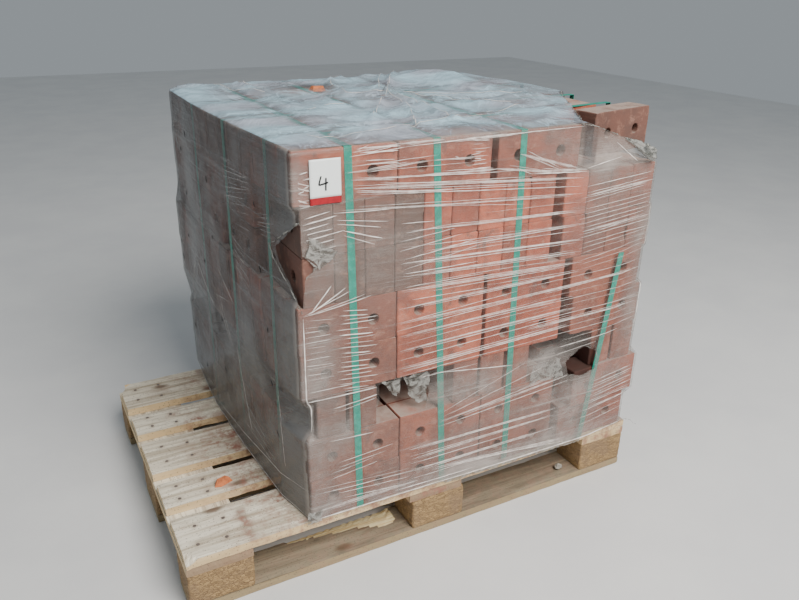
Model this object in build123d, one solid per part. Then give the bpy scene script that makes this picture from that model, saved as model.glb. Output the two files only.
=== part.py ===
"""Strapped and film-wrapped pack of perforated bricks on a four-way timber pallet.

Millimetres, +Z up. The origin is the middle of the pallet's underside, +X runs along the
long side of the pallet and +Y from the front to the back.
"""
import math
import os
import random

from build123d import *

# Pallet, a four-way block pallet
PALLET_L = 1200.0
PALLET_W = 800.0
BOARD_T = 22.0
WIDE_BOARD = 145.0
NARROW_BOARD = 100.0
BLOCK_L = 145.0
BLOCK_H = 78.0
MIDDLE_BLOCK_SHIFT = 9.0
BOARD_EDGE = 1.5
BLOCK_CHAMFER = 4.0
CORNER_CUT = 12.0

# Brick, with two round perforations through its thickness
BRICK_L = 215.0
BRICK_W = 102.5
BRICK_T = 65.0
HOLE_D = 25.0
HOLE_PITCH = 110.0
END_JOINT = 2.5
SIDE_JOINT = 1.2
PIER_JOINT = 8.0
JITTER = 0.15
TURN = 0.08

# Stack
BRICKS_LONG = 4
BRICKS_ACROSS = int(BRICKS_LONG * (BRICK_L + END_JOINT) / (BRICK_T + SIDE_JOINT))
STACK_LEFT = 273.0
STACK_OVERHANG = 2.0
LEAN = 32.0
LEAN_RUN = 480.0
FORK_SETBACK = 2.0
FORK_PIERS = (2, 3, 2)
TOP_ROWS = BRICKS_ACROSS - 1
CORE_CLEARANCE = 0.6

# Bricks that have moved: the free one at the top right, and the skewed one low on the right
FREE_BRICK_OUT = 114.0
FREE_BRICK_GAP = 18.1
FREE_BRICK_TURN = 11.0
FREE_ROWS_MISSING = 3
SKEWED_TURN = 3.0

# Straps
STRAP_W = 16.0
STRAP_T = 0.7
STRAP_SLACK = 0.3
FRONT_STRAPS = ((-1.5, 20.5), (-29.0, 19.0), (-43.5, -24.5))
SIDE_STRAPS = ((9.5, 106.5), (20.0, 29.0), (29.5, 34.5))
BROKEN_STRAP = (16.0, -44.0)
BROKEN_STRAP_DROP = 312.0
BROKEN_STRAP_TAIL = 190.0

# Film, its tear at the top right, and the label on it
FILM_T = 1.2
FILM_GAP = 0.4
FILM_FOOT = 0.5
TEAR_DROP = 46.0
TEAR_RUN = 147.0
TEAR_STEP = 48.0
TEAR_BACK_IN = 38.0
TEAR_DEPTH = 355.0
LABEL_W = 62.0
LABEL_H = 84.0
LABEL_T = 0.5
LABEL_IN = 32.0
LABEL_DROP = 17.0

# Loose brick chips, on the bare deck and on the film
CHIP_L = 46.0
CHIP_W = 26.0
CHIP_H = 13.0
CHIP_TAPER = 22.0
DECK_CHIP = (143.0, -14.0, 8.0)
TOP_CHIP = (306.0, 641.0, 160.0)

LEFT = -PALLET_L / 2
FRONT = -PALLET_W / 2
PALLET_H = 3 * BOARD_T + BLOCK_H
STACK_Z = PALLET_H + 2 * STRAP_T
COURSES = 8
STACK_TOP = STACK_Z + COURSES * BRICK_W
STACK_X = LEFT + STACK_LEFT
STACK_Y = FRONT - STACK_OVERHANG

# One row per course from the bottom: how its bricks lie, how far its left end is set in, and
# the joints that have opened, as {column before the joint: extra width}
LAYERS = (
    ("bed", 7.0, {2: 24.0}),
    ("bed", 5.0, {2: 48.0}),
    ("fork", 27.0, {}),
    ("bed", -5.0, {1: 7.0, 2: 33.0}),
    ("bed", -7.0, {1: 7.0, 2: 21.0}),
    ("header", 5.0, {8: 32.0}),
    ("header", 4.0, {8: 28.0}),
    ("bed", -9.0, {1: 14.0}),
)
SKEWED = LAYERS[1]
FORKS = LAYERS[2]
ABOVE_FORKS = LAYERS[3]
TOP = LAYERS[-1]

random.seed(7)


def save(shape, name):
    """Write one node."""
    export_step(shape, f"parts/{name}.step")


def block_of(x, y, z, length, width, height):
    """A plain box from its low corner."""
    return Pos(x, y, z) * Box(length, width, height, align=(Align.MIN, Align.MIN, Align.MIN))


def spread(count, size, total):
    """Low edges of like boards or blocks spread evenly over a total width."""
    return [i * (total - size) / (count - 1) for i in range(count)]


def board(x, y, z, length, width, corners=()):
    """A sawn board with eased edges; corners are cut where a post or a foot has worn them."""
    plank = block_of(x, y, z, length, width, BOARD_T)
    for cx, cy in corners:
        plank -= Pos(cx, cy, z + BOARD_T / 2) * Rot(0, 0, 45) * Box(CORNER_CUT, CORNER_CUT, 2 * BOARD_T)
    return chamfer(plank.edges(), BOARD_EDGE)


def deck_gap():
    """Gap between neighbouring deck boards."""
    return (PALLET_W - 3 * WIDE_BOARD - 2 * NARROW_BOARD) / 4


def make_pallet():
    """Three bottom boards, nine blocks, three cross boards and five deck boards."""
    deck_z = PALLET_H - BOARD_T
    wide_y = spread(3, WIDE_BOARD, PALLET_W)
    narrow_y = [y + WIDE_BOARD + deck_gap() for y in wide_y[:2]]
    deck = {
        "deck_board_front": (wide_y[0], WIDE_BOARD),
        "deck_board_front_inner": (narrow_y[0], NARROW_BOARD),
        "deck_board_centre": (wide_y[1], WIDE_BOARD),
        "deck_board_back_inner": (narrow_y[1], NARROW_BOARD),
        "deck_board_back": (wide_y[2], WIDE_BOARD),
    }
    for name, (y, width) in deck.items():
        worn = ()
        if name == "deck_board_front":
            worn = ((LEFT, FRONT),)
        if name == "deck_board_back":
            worn = ((LEFT, FRONT + PALLET_W),)
        save(board(LEFT, FRONT + y, deck_z, PALLET_L, width, worn), name)

    columns = dict(zip(("left", "centre", "right"), spread(3, BLOCK_L, PALLET_L)))
    for name, x in columns.items():
        save(board(LEFT + x, FRONT, deck_z - BOARD_T, BLOCK_L, PALLET_W), f"cross_board_{name}")

    rows = {
        "front": (0.0, NARROW_BOARD),
        "centre": (wide_y[1], WIDE_BOARD),
        "back": (PALLET_W - NARROW_BOARD, NARROW_BOARD),
    }
    for row, (y, width) in rows.items():
        save(board(LEFT, FRONT + y, 0, PALLET_L, width), f"bottom_board_{row}")
        for column, x in columns.items():
            shift = MIDDLE_BLOCK_SHIFT if (row, column) == ("front", "centre") else 0
            foot = block_of(LEFT + x + shift, FRONT + y, BOARD_T, BLOCK_L, width, BLOCK_H)
            foot = chamfer(foot.edges().filter_by(Axis.Z), BLOCK_CHAMFER)
            save(foot, f"block_{row}_{column}")


def brick_blank():
    """A brick standing on its long edge, bed faces to front and back, on its bottom centre."""
    body = Box(BRICK_L, BRICK_T, BRICK_W, align=(Align.CENTER, Align.CENTER, Align.MIN))
    for side in (-1, 1):
        bore = Rot(90, 0, 0) * Cylinder(HOLE_D / 2, 2 * BRICK_T)
        body -= Pos(side * HOLE_PITCH / 2, 0, BRICK_W / 2) * bore
    return body


BED = brick_blank()


def lean(y):
    """How far the stack's left end has moved out at a distance from its front."""
    return LEAN * min(max(y / LEAN_RUN, 0), 1)


def put(x, y, z, turn=0.0, header=False):
    """One brick at its bottom centre, a little off its place as a hand or machine leaves it."""
    dx = random.uniform(-JITTER, JITTER)
    dy = random.uniform(-JITTER, JITTER)
    angle = turn + random.uniform(-TURN, TURN) + (90 if header else 0)
    return (Pos(x + dx, y + dy, z) * Rot(0, 0, angle) * BED).solid()


def fork_starts(x):
    """Left edge of each column of the fork course, whose piers reach from end to end."""
    end = column_starts(*ABOVE_FORKS)[-1] + BRICK_L
    filled = sum(FORK_PIERS) * BRICK_T + (sum(FORK_PIERS) - len(FORK_PIERS)) * PIER_JOINT
    tunnel = (end - x - filled) / (len(FORK_PIERS) - 1)
    starts = []
    for pier in FORK_PIERS:
        for _ in range(pier):
            starts.append(x)
            x += BRICK_T + PIER_JOINT
        x += tunnel - PIER_JOINT
    return starts


def column_starts(lay, inset, slack):
    """Left edge of each column of a course."""
    x = STACK_X + inset
    if lay == "fork":
        return fork_starts(x)
    starts = []
    count = BRICKS_LONG if lay == "bed" else BRICKS_ACROSS
    step = BRICK_L + END_JOINT if lay == "bed" else BRICK_T + SIDE_JOINT
    for i in range(count):
        starts.append(x)
        x += step + slack.get(i, 0)
    return starts


def column_width(lay):
    return BRICK_L if lay == "bed" else BRICK_T


def tunnels():
    """The two fork tunnels through the stack, as (low x, high x)."""
    starts = column_starts(*FORKS)
    gaps = []
    index = 0
    for pier in FORK_PIERS[:-1]:
        index += pier
        gaps.append((starts[index - 1] + BRICK_T, starts[index]))
    return gaps


def row_step(lay):
    return BRICK_T + SIDE_JOINT if lay == "bed" else BRICK_L + END_JOINT


def stack_depth():
    return max(
        (BRICKS_ACROSS - 1) * row_step("bed") + BRICK_T,
        (BRICKS_LONG - 1) * row_step("header") + BRICK_L,
    )


def inner_block(x0, x1, y0, y1, z):
    """Plain block that stands for the hidden bricks inside one course."""
    c = CORE_CLEARANCE
    return block_of(x0 + c, y0 + c, z, x1 - x0 - 2 * c, y1 - y0 - 2 * c, BRICK_W).solid()


def bed_course(layer, starts, z):
    """Bricks that show their bed faces to the front, in rows one brick thick."""
    top = layer is TOP
    rows = TOP_ROWS if top else BRICKS_ACROSS
    step = row_step("bed")
    last = len(starts) - 1
    bricks = []
    for row in range(rows):
        for column, x in enumerate(starts):
            inside = 0 < column < last and 0 < row < rows - 1
            if inside and not top:
                continue
            if top and column == last and row < FREE_ROWS_MISSING:
                continue
            shift = -lean(row * step) if column == 0 else 0
            turn = 0.0
            xc = x + BRICK_L / 2 + shift
            yc = STACK_Y + row * step + BRICK_T / 2
            if layer is SKEWED and column == last and row == 0:
                turn = SKEWED_TURN
                xc += END_JOINT
                yc -= skew_swing() / 2
            bricks.append(put(xc, yc, z, turn))
    if top:
        free_x = starts[last] + BRICK_L / 2 + FREE_BRICK_OUT
        free_y = STACK_Y + FREE_ROWS_MISSING * step - BRICK_T / 2 - FREE_BRICK_GAP
        place = Pos(free_x, free_y, z)
        bricks.append((place * Rot(0, 0, FREE_BRICK_TURN) * BED).solid())
    else:
        y0 = STACK_Y + step
        y1 = STACK_Y + (rows - 1) * step - SIDE_JOINT
        bricks.append(inner_block(starts[1], starts[last - 1] + BRICK_L, y0, y1, z))
    return bricks


def header_course(starts, z):
    """Bricks that show their ends to the front, in rows one brick long."""
    step = row_step("header")
    last = len(starts) - 1
    rows = BRICKS_LONG
    bricks = []
    for row in range(rows):
        for column, x in enumerate(starts):
            if 0 < column < last and 0 < row < rows - 1:
                continue
            yc = STACK_Y + row * step + BRICK_L / 2
            shift = -lean(yc - STACK_Y) if column == 0 and row > 0 else 0
            bricks.append(put(x + BRICK_T / 2 + shift, yc, z, header=True))
    open_joint = max(range(last), key=lambda i: starts[i + 1] - starts[i])
    y0 = STACK_Y + step
    y1 = STACK_Y + (rows - 1) * step - END_JOINT
    for first, end in ((1, open_joint), (open_joint + 1, last - 1)):
        bricks.append(inner_block(starts[first], starts[end] + BRICK_T, y0, y1, z))
    return bricks


def fork_course(starts, z):
    """Piers of bricks that leave two tunnels for the forks of a truck."""
    bricks = []
    for row in range(BRICKS_LONG):
        yc = STACK_Y + row * row_step("header") + BRICK_L / 2
        if row == 0:
            yc += FORK_SETBACK
        for x in starts:
            bricks.append(put(x + BRICK_T / 2, yc, z, header=True))
    return bricks


def make_bricks():
    """The courses, each one node of separate bricks."""
    for index, layer in enumerate(LAYERS):
        z = STACK_Z + index * BRICK_W
        starts = column_starts(*layer)
        if layer[0] == "bed":
            bricks = bed_course(layer, starts, z)
        elif layer[0] == "header":
            bricks = header_course(starts, z)
        else:
            bricks = fork_course(starts, z)
        save(Compound(children=bricks), f"brick_course_{index + 1}")


def stack_right():
    """Right end of the widest course."""
    ends = []
    for layer in LAYERS[:-1]:
        ends.append(column_starts(*layer)[-1] + column_width(layer[0]))
    return max(ends) + END_JOINT + 2 * JITTER


def stack_left():
    """Left end of the widest course, at the front of the stack."""
    return STACK_X + min(layer[1] for layer in LAYERS)


def skew_swing():
    """How far the skewed brick stands out of the front of the stack."""
    return BRICK_L * math.sin(math.radians(SKEWED_TURN))


def strap_run(corners, plane, thickness):
    """A flat run of strap: four corners in a plane, given a thickness along its normal."""
    return extrude(plane * make_face(Polyline(*corners, close=True)), thickness)


def front_face(y):
    """Plane of the front face with X to the right and Z up; its normal is -Y."""
    return Plane(origin=(0, y, 0), x_dir=(1, 0, 0), z_dir=(0, -1, 0))


def wall_run(y, side, low, high):
    """Strap run up the front (side -1) or back (side 1), from low (x, z) to high (x, z)."""
    half = STRAP_W / 2
    corners = (
        (low[0] - half, low[1]),
        (low[0] + half, low[1]),
        (high[0] + half, high[1]),
        (high[0] - half, high[1]),
    )
    return strap_run(corners, front_face(y), -side * STRAP_T)


def level_run(z, start, end):
    """Strap run on a level plane, from start (x, y) to end (x, y) along X or Y."""
    half = STRAP_W / 2
    if abs(end[0] - start[0]) > abs(end[1] - start[1]):
        nx, ny = 0, half
    else:
        nx, ny = half, 0
    corners = (
        (start[0] - nx, start[1] - ny),
        (start[0] + nx, start[1] + ny),
        (end[0] + nx, end[1] + ny),
        (end[0] - nx, end[1] - ny),
    )
    return strap_run(corners, Plane.XY.offset(z), STRAP_T)


def strap_x(column, offset):
    """Where a front-to-back strap crosses, as an offset from the middle of a column of bricks."""
    return column_starts(*ABOVE_FORKS)[column] + BRICK_L / 2 + offset


def strap_y(row, offset):
    """Where a side strap crosses, as an offset from the middle of a row of long bricks."""
    return STACK_Y + row * row_step("header") + BRICK_L / 2 + offset


def front_span():
    """Where the front and back runs of a strap lie."""
    near = STACK_Y - STRAP_SLACK
    far = STACK_Y + stack_depth() + STRAP_SLACK
    return near, far


def make_front_strap(xt, xf):
    """Closed loop over the top from front to back, under the stack and up again."""
    near, far = front_span()
    low = STACK_Z - 2 * STRAP_T
    high = STACK_TOP + STRAP_T
    y0 = near - STRAP_T
    y1 = far + STRAP_T
    loop = wall_run(near, -1, (xf, low), (xt, high + STRAP_T))
    loop += wall_run(far, 1, (xf, low), (xt, high + STRAP_T))
    loop += level_run(high, (xt, y0), (xt, y1))
    loop += level_run(low, (xf, y0), (xf, y1))
    return loop


def make_broken_strap():
    """The strap that has parted: its front end has dropped and its tail lies on the top."""
    near, far = front_span()
    near -= skew_swing()
    low = STACK_Z - 2 * STRAP_T
    high = STACK_TOP + STRAP_T
    xt, xf = (strap_x(BRICKS_LONG - 1, offset) for offset in BROKEN_STRAP)
    y0 = near - STRAP_T
    y1 = far + STRAP_T
    loop = wall_run(near, -1, (xf, low), (xt, STACK_TOP - BROKEN_STRAP_DROP))
    loop += wall_run(far, 1, (xf, low), (xt, high + STRAP_T))
    loop += level_run(low, (xf, y0), (xf, y1))
    loop += level_run(high, (xt, y1 - BROKEN_STRAP_TAIL), (xt, y1))
    return loop


def make_side_strap(yl, yr):
    """Closed loop over the top from left to right, inside the front-to-back straps."""
    low = STACK_Z - STRAP_T
    high = STACK_TOP
    x0 = stack_left() - lean(yl - STACK_Y + STRAP_W) - STRAP_SLACK
    x1 = stack_right() + STRAP_SLACK
    half = STRAP_W / 2
    height = high - low + STRAP_T
    loop = block_of(x0 - STRAP_T, yl - half, low, STRAP_T, STRAP_W, height)
    loop += block_of(x1, yr - half, low, STRAP_T, STRAP_W, height)
    loop += level_run(high, (x0 - STRAP_T, yl), (x1 + STRAP_T, yr))
    loop += level_run(low, (x0 - STRAP_T, yl), (x1 + STRAP_T, yr))
    return loop


def stack_outline(extra):
    """Plan outline around the whole stack, moved out by a distance."""
    lead_y = 3 * STRAP_W
    lead = lean(lead_y)
    left = stack_left() - lead - STRAP_T - STRAP_SLACK - extra
    right = stack_right() + STRAP_T + STRAP_SLACK + extra
    near = STACK_Y - STRAP_T - STRAP_SLACK - extra
    far = STACK_Y + stack_depth() + STRAP_T + STRAP_SLACK + extra
    skewed = column_starts(*SKEWED)[-1]
    points = (
        (left, near),
        (skewed - BRICK_L / 2, near),
        (skewed - STRAP_W, near - skew_swing()),
        (strap_x(BRICKS_LONG - 1, max(BROKEN_STRAP)) + STRAP_W, near - skew_swing()),
        (right, near),
        (right, far),
        (left - LEAN + lead, far),
        (left - LEAN + lead, STACK_Y + LEAN_RUN - lead_y),
    )
    return make_face(Polyline(*points, close=True))


def make_film():
    """The stretch film as a closed skin, open below, at the tunnels and where it has torn."""
    inner_top = STACK_TOP + 2 * STRAP_T + FILM_GAP
    foot = PALLET_H + FILM_FOOT
    outer = extrude(Plane.XY.offset(foot) * stack_outline(FILM_GAP + FILM_T), inner_top + FILM_T - foot)
    inner = extrude(Plane.XY.offset(foot - FILM_T) * stack_outline(FILM_GAP), inner_top + FILM_T - foot)
    film = outer - inner
    far = STACK_Y + stack_depth()
    for x0, x1 in tunnels():
        z0 = STACK_Z + LAYERS.index(FORKS) * BRICK_W
        film -= block_of(x0, STACK_Y - BRICK_L, z0, x1 - x0, far - STACK_Y + 2 * BRICK_L, BRICK_W)
    return film - film_tear()


def film_tear():
    """Where the film has come away from the top right corner."""
    beyond = stack_right() + BRICK_L
    sill = STACK_TOP - BRICK_W - FILM_T
    over = STACK_TOP + BRICK_T
    x0 = column_starts(*TOP)[-2] + BRICK_L
    face = (
        (x0, STACK_TOP),
        (x0 + TEAR_RUN, STACK_TOP - TEAR_DROP),
        (x0 + TEAR_RUN + TEAR_STEP, sill),
        (beyond, sill),
        (beyond, over),
        (x0, over),
    )
    before = STACK_Y - BRICK_L
    wall = extrude(front_face(before) * make_face(Polyline(*face, close=True)), -2 * PALLET_W)
    plan = (
        (x0, before),
        (x0, STACK_Y + STACK_OVERHANG),
        (stack_right() - TEAR_BACK_IN, STACK_Y + TEAR_DEPTH),
        (beyond, STACK_Y + TEAR_DEPTH),
        (beyond, before),
    )
    roof = extrude(make_face(Polyline(*plan, close=True)), STACK_TOP + PALLET_H)
    return wall & roof


def make_label():
    """A card stuck to the film near the top left corner of the front."""
    face_y = STACK_Y - STRAP_T - STRAP_SLACK - FILM_GAP - FILM_T
    x = stack_left() + LABEL_IN
    z = STACK_TOP - LABEL_DROP - LABEL_H
    return block_of(x, face_y - LABEL_T, z, LABEL_W, LABEL_T, LABEL_H)


def make_chip(x, y, z, turn):
    """A broken-off corner of brick."""
    points = (
        (-CHIP_L / 2, -CHIP_W / 4),
        (-CHIP_L / 5, -CHIP_W / 2),
        (CHIP_L / 2, -CHIP_W / 5),
        (CHIP_L / 4, CHIP_W / 2),
        (-CHIP_L / 3, CHIP_W / 3),
    )
    chip = extrude(make_face(Polyline(*points, close=True)), CHIP_H, taper=CHIP_TAPER)
    return Pos(x, y, z) * Rot(0, 0, turn) * chip


def main():
    os.makedirs("parts", exist_ok=True)
    make_pallet()
    make_bricks()
    for column, (top, foot) in enumerate(FRONT_STRAPS):
        save(make_front_strap(strap_x(column, top), strap_x(column, foot)), f"strap_front_{column + 1}")
    save(make_broken_strap(), "strap_broken")
    for row, (left, right) in enumerate(SIDE_STRAPS):
        save(make_side_strap(strap_y(row, left), strap_y(row, right)), f"strap_side_{row + 1}")
    save(make_film(), "film_wrap")
    save(make_label(), "label_card")
    film_top = STACK_TOP + 2 * STRAP_T + FILM_GAP + FILM_T
    x, offset, turn = DECK_CHIP
    y = FRONT + WIDE_BOARD + deck_gap() + NARROW_BOARD / 2 + offset
    save(make_chip(LEFT + x, y, PALLET_H, turn), "brick_chip_deck")
    x, y, turn = TOP_CHIP
    save(make_chip(STACK_X + x, STACK_Y + y, film_top, turn), "brick_chip_top")


main()
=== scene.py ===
"""Looks of a strapped and film-wrapped pack of perforated bricks on a four-way timber pallet.

Metres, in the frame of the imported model: +X along the pallet, +Y to the back, +Z up.
"""

import math
import random

import bpy
import numpy as np
from mathutils import Matrix, Vector, noise


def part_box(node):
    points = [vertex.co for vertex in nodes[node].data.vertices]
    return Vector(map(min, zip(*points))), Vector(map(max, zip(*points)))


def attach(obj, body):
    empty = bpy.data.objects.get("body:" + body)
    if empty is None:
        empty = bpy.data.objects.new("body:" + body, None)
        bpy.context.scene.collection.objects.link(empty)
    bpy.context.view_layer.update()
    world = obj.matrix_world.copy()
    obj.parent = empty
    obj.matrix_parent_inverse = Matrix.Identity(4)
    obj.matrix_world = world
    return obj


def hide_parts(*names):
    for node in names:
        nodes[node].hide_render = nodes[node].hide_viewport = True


MM = 0.001

# Camera, solved on the corners of the pallet
CAMERA_AT = (-0.7910, -1.6479, 1.2578)
CAMERA_YAW = math.radians(28.590)
CAMERA_PITCH = math.radians(23.593)
CAMERA_ROLL = math.radians(1.044)
CAMERA_LENS = 33.785

# Brick
BRICK_L = 215 * MM
BRICK_W = 102.5 * MM
BRICK_T = 65 * MM
HOLE_R = 12.5 * MM
HOLE_AT = 55 * MM
ARRIS = 1.8 * MM
# Each bore: half the square of grid round it, how far in its last rings lie, and its rings' radius and depth
HOLE_PATCH = 20 * MM
BORE_END = 20 * MM
BORE_RINGS = ((HOLE_R + 1.2 * MM, 0.0), (HOLE_R, 1.1 * MM), (HOLE_R, BORE_END))

# Boards: grid cell, strip at the arrises, and how near to an edge a point counts as on its strip or its face
BOARD_CELL = 9 * MM
BOARD_ARRIS = 2.2 * MM
ON_STRIP = 2.5 * MM
ON_FACE = 0.1 * MM
DECK_WEAR = 5 * MM
CROSS_WEAR = 3 * MM
BOTTOM_WEAR = 4 * MM

# Film
FILM_OUT = 2.6 * MM
# How steeply it steps in between courses
TIGHT_SLOPE = 0.9
LOOSE_SLOPE = 0.22
FRONT_CELLS = 124
SIDE_CELLS = 118
WALL_ROWS = 112
# Film behind this y is past the front face, and left of this x it is on the left face
PAST_FRONT_Y = -0.395
ON_LEFT_X = -0.27
# Film whose normal points up more than this has the look of the top
UPWARD = 0.6
STRAP_REACH = 13 * MM
FOLD_STEP = 13 * MM
HEM_STEP = 4 * MM

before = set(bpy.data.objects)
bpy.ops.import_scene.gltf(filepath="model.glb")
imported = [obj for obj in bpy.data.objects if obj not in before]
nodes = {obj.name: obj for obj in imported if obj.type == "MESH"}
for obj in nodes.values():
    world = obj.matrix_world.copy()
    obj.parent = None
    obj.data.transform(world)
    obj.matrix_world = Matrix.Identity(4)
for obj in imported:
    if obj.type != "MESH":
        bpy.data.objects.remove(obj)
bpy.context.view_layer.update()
rng = random.Random(11)

# The stack
COURSES = range(1, 9)
STACK_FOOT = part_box("brick_course_1")[0].z
STACK_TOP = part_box("brick_course_8")[1].z
STACK_LEFT = -0.34
BRICK_PITCH = 217.5 * MM
# Bricks before this y are in the front row, and left of this x in the left row
FRONT_ROW_Y = -0.25
LEFT_ROW_X = -0.24
# The free brick of the top course lies right of this x and before this y
FREE_BRICK_X, FREE_BRICK_Y = 0.44, -0.2


# Mesh helpers

def mesh_object(name, verts, faces, material, smooth=True, attributes=None):
    """A mesh piece that rides on the load, with float attributes by point."""
    mesh = bpy.data.meshes.new(name)
    mesh.from_pydata([tuple(v) for v in verts], [], faces)
    mesh.validate()
    if smooth:
        mesh.shade_smooth()
    for key, values in (attributes or {}).items():
        layer = mesh.attributes.new(key, "FLOAT", "POINT")
        layer.data.foreach_set("value", np.asarray(values, np.float32))
    obj = bpy.data.objects.new(name, mesh)
    bpy.context.scene.collection.objects.link(obj)
    obj.data.materials.append(material)
    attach(obj, "root")
    return obj


def grid_faces(rows, across, base=0, closed=False, flip=False):
    """Quads between rows of points that follow one another, with the same number across in each row."""
    faces = []
    for row in range(rows - 1):
        for k in range(across if closed else across - 1):
            a, b = base + row * across + k, base + row * across + (k + 1) % across
            faces.append([a, a + across, b + across, b] if flip else [a, b, b + across, a + across])
    return faces


def around(count):
    """Cosine and sine of evenly spaced turns round a circle."""
    turns = [2 * math.pi * k / count for k in range(count)]
    return [(math.cos(t), math.sin(t)) for t in turns]


def wander(x, y, z=0.0, seed=0.0):
    """Smooth noise from -1 to 1."""
    return noise.noise(Vector((x, y, z + 31.7 * seed)))


def clamp(value, low=0.0, high=1.0):
    """A value held between two limits."""
    return min(high, max(low, value))


def bell(*offsets):
    """1 in the middle of a spot, falling off smoothly; each offset is a share of a half width."""
    return math.exp(-sum(t ** 2 for t in offsets))


def beside(x, y, a, b):
    """Distance in a plane from a point to a segment."""
    ex, ey = b[0] - a[0], b[1] - a[1]
    t = clamp(((x - a[0]) * ex + (y - a[1]) * ey) / (ex * ex + ey * ey))
    return math.hypot(x - a[0] - t * ex, y - a[1] - t * ey)


def node_points(name):
    """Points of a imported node."""
    return np.array([v.co for v in nodes[name].data.vertices])


def loose_parts(obj):
    """Points of each separate solid of a node, as arrays."""
    mesh = obj.data
    co = np.zeros(len(mesh.vertices) * 3, np.float32)
    mesh.vertices.foreach_get("co", co)
    co = co.reshape(-1, 3).astype(float)
    keys, inverse = np.unique(np.round(co, 5), axis=0, return_inverse=True)
    inverse = inverse.reshape(-1)
    parent = list(range(len(keys)))

    def root(i):
        while parent[i] != i:
            parent[i] = parent[parent[i]]
            i = parent[i]
        return i

    for poly in mesh.polygons:
        ids = [root(inverse[v]) for v in poly.vertices]
        for other in ids[1:]:
            parent[root(other)] = root(ids[0])
    groups = {}
    for i in range(len(keys)):
        groups.setdefault(root(i), []).append(keys[i])
    return [np.array(g) for g in groups.values()]


def convex_hull(points):
    """Counter-clockwise hull of points in plan."""
    pts = sorted({(round(float(x), 5), round(float(y), 5)) for x, y in points})

    def half(sequence):
        chain = []
        for p in sequence:
            while len(chain) > 1:
                (ax, ay), (bx, by) = chain[-2], chain[-1]
                if (bx - ax) * (p[1] - ay) - (by - ay) * (p[0] - ax) > 0:
                    break
                chain.pop()
            chain.append(p)
        return chain[:-1]

    return half(pts) + half(pts[::-1])


# Materials

class Shader:
    """Short calls that build one node material."""

    def __init__(self, name):
        self.material = bpy.data.materials.new(name)
        self.material.use_nodes = True
        self.tree = self.material.node_tree
        self.out = self.tree.nodes["Principled BSDF"]
        coords = self.tree.nodes.new("ShaderNodeTexCoord")
        self.coords = coords.outputs["Object"]

    def put(self, socket, value):
        if isinstance(value, bpy.types.NodeSocket):
            self.tree.links.new(value, socket)
        elif isinstance(value, tuple) and len(value) == 3 and socket.type == "RGBA":
            socket.default_value = (*value, 1.0)
        else:
            socket.default_value = value

    def node(self, kind, inputs=None, **settings):
        made = self.tree.nodes.new("ShaderNode" + kind)
        for key, value in settings.items():
            setattr(made, key, value)
        for key, value in (inputs or {}).items():
            self.put(made.inputs[key], value)
        return made

    def attribute(self, name):
        return self.node("Attribute", attribute_name=name).outputs["Fac"]

    def moved(self, scale):
        """Object coordinates stretched by a scale for each axis."""
        return self.node("Mapping", {"Vector": self.coords, "Scale": scale}).outputs[0]

    def vector(self, x, y, z):
        return self.node("CombineXYZ", {"X": x, "Y": y, "Z": z}).outputs[0]

    def vector_math(self, operation, a, b):
        return self.node("VectorMath", {0: a, 1: b}, operation=operation).outputs[0]

    def upward(self):
        """The surface normal's part along Z."""
        normal = self.node("NewGeometry").outputs["Normal"]
        return self.node("SeparateXYZ", {0: normal}).outputs["Z"]

    def noise(self, scale, detail=4.0, rough=0.55, vector=None, warp=0.0):
        values = {"Vector": vector or self.coords, "Scale": scale, "Detail": detail,
                  "Roughness": rough, "Distortion": warp}
        return self.node("TexNoise", values).outputs["Fac"]

    def cells(self, scale, vector=None, feature="F1"):
        values = {"Vector": vector or self.coords, "Scale": scale}
        return self.node("TexVoronoi", values, feature=feature).outputs["Distance"]

    def math(self, operation, a, b=0.5, clamped=False):
        return self.node("Math", {0: a, 1: b}, operation=operation, use_clamp=clamped).outputs[0]

    def times(self, a, b, clamped=False):
        return self.math("MULTIPLY", a, b, clamped)

    def plus(self, a, b, clamped=False):
        return self.math("ADD", a, b, clamped)

    def ridge(self, pattern):
        """0 along the lines where a noise is at its middle, rising to both sides."""
        return self.math("ABSOLUTE", self.math("SUBTRACT", pattern, 0.5))

    def band(self, value, low, high, to_low=0.0, to_high=1.0):
        """Value mapped from one range to another, clamped and eased."""
        values = {"Value": value, "From Min": low, "From Max": high,
                  "To Min": to_low, "To Max": to_high}
        return self.node("MapRange", values, interpolation_type="SMOOTHSTEP").outputs[0]

    def mix(self, factor, a, b):
        """Colour between two others."""
        made = self.node("Mix", data_type="RGBA")
        for socket, value in zip((0, 6, 7), (factor, a, b)):
            self.put(made.inputs[socket], value)
        return made.outputs[2]

    def bump(self, height, distance, strength):
        values = {"Height": height, "Distance": distance, "Strength": strength}
        return self.node("Bump", values).outputs[0]

    def finish(self, **values):
        for key, value in values.items():
            self.put(self.out.inputs[key.replace("_", " ")], value)
        return self.material


def dimmed(colour, share):
    """A darker shade of a colour."""
    return tuple(c * share for c in colour)


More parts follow.
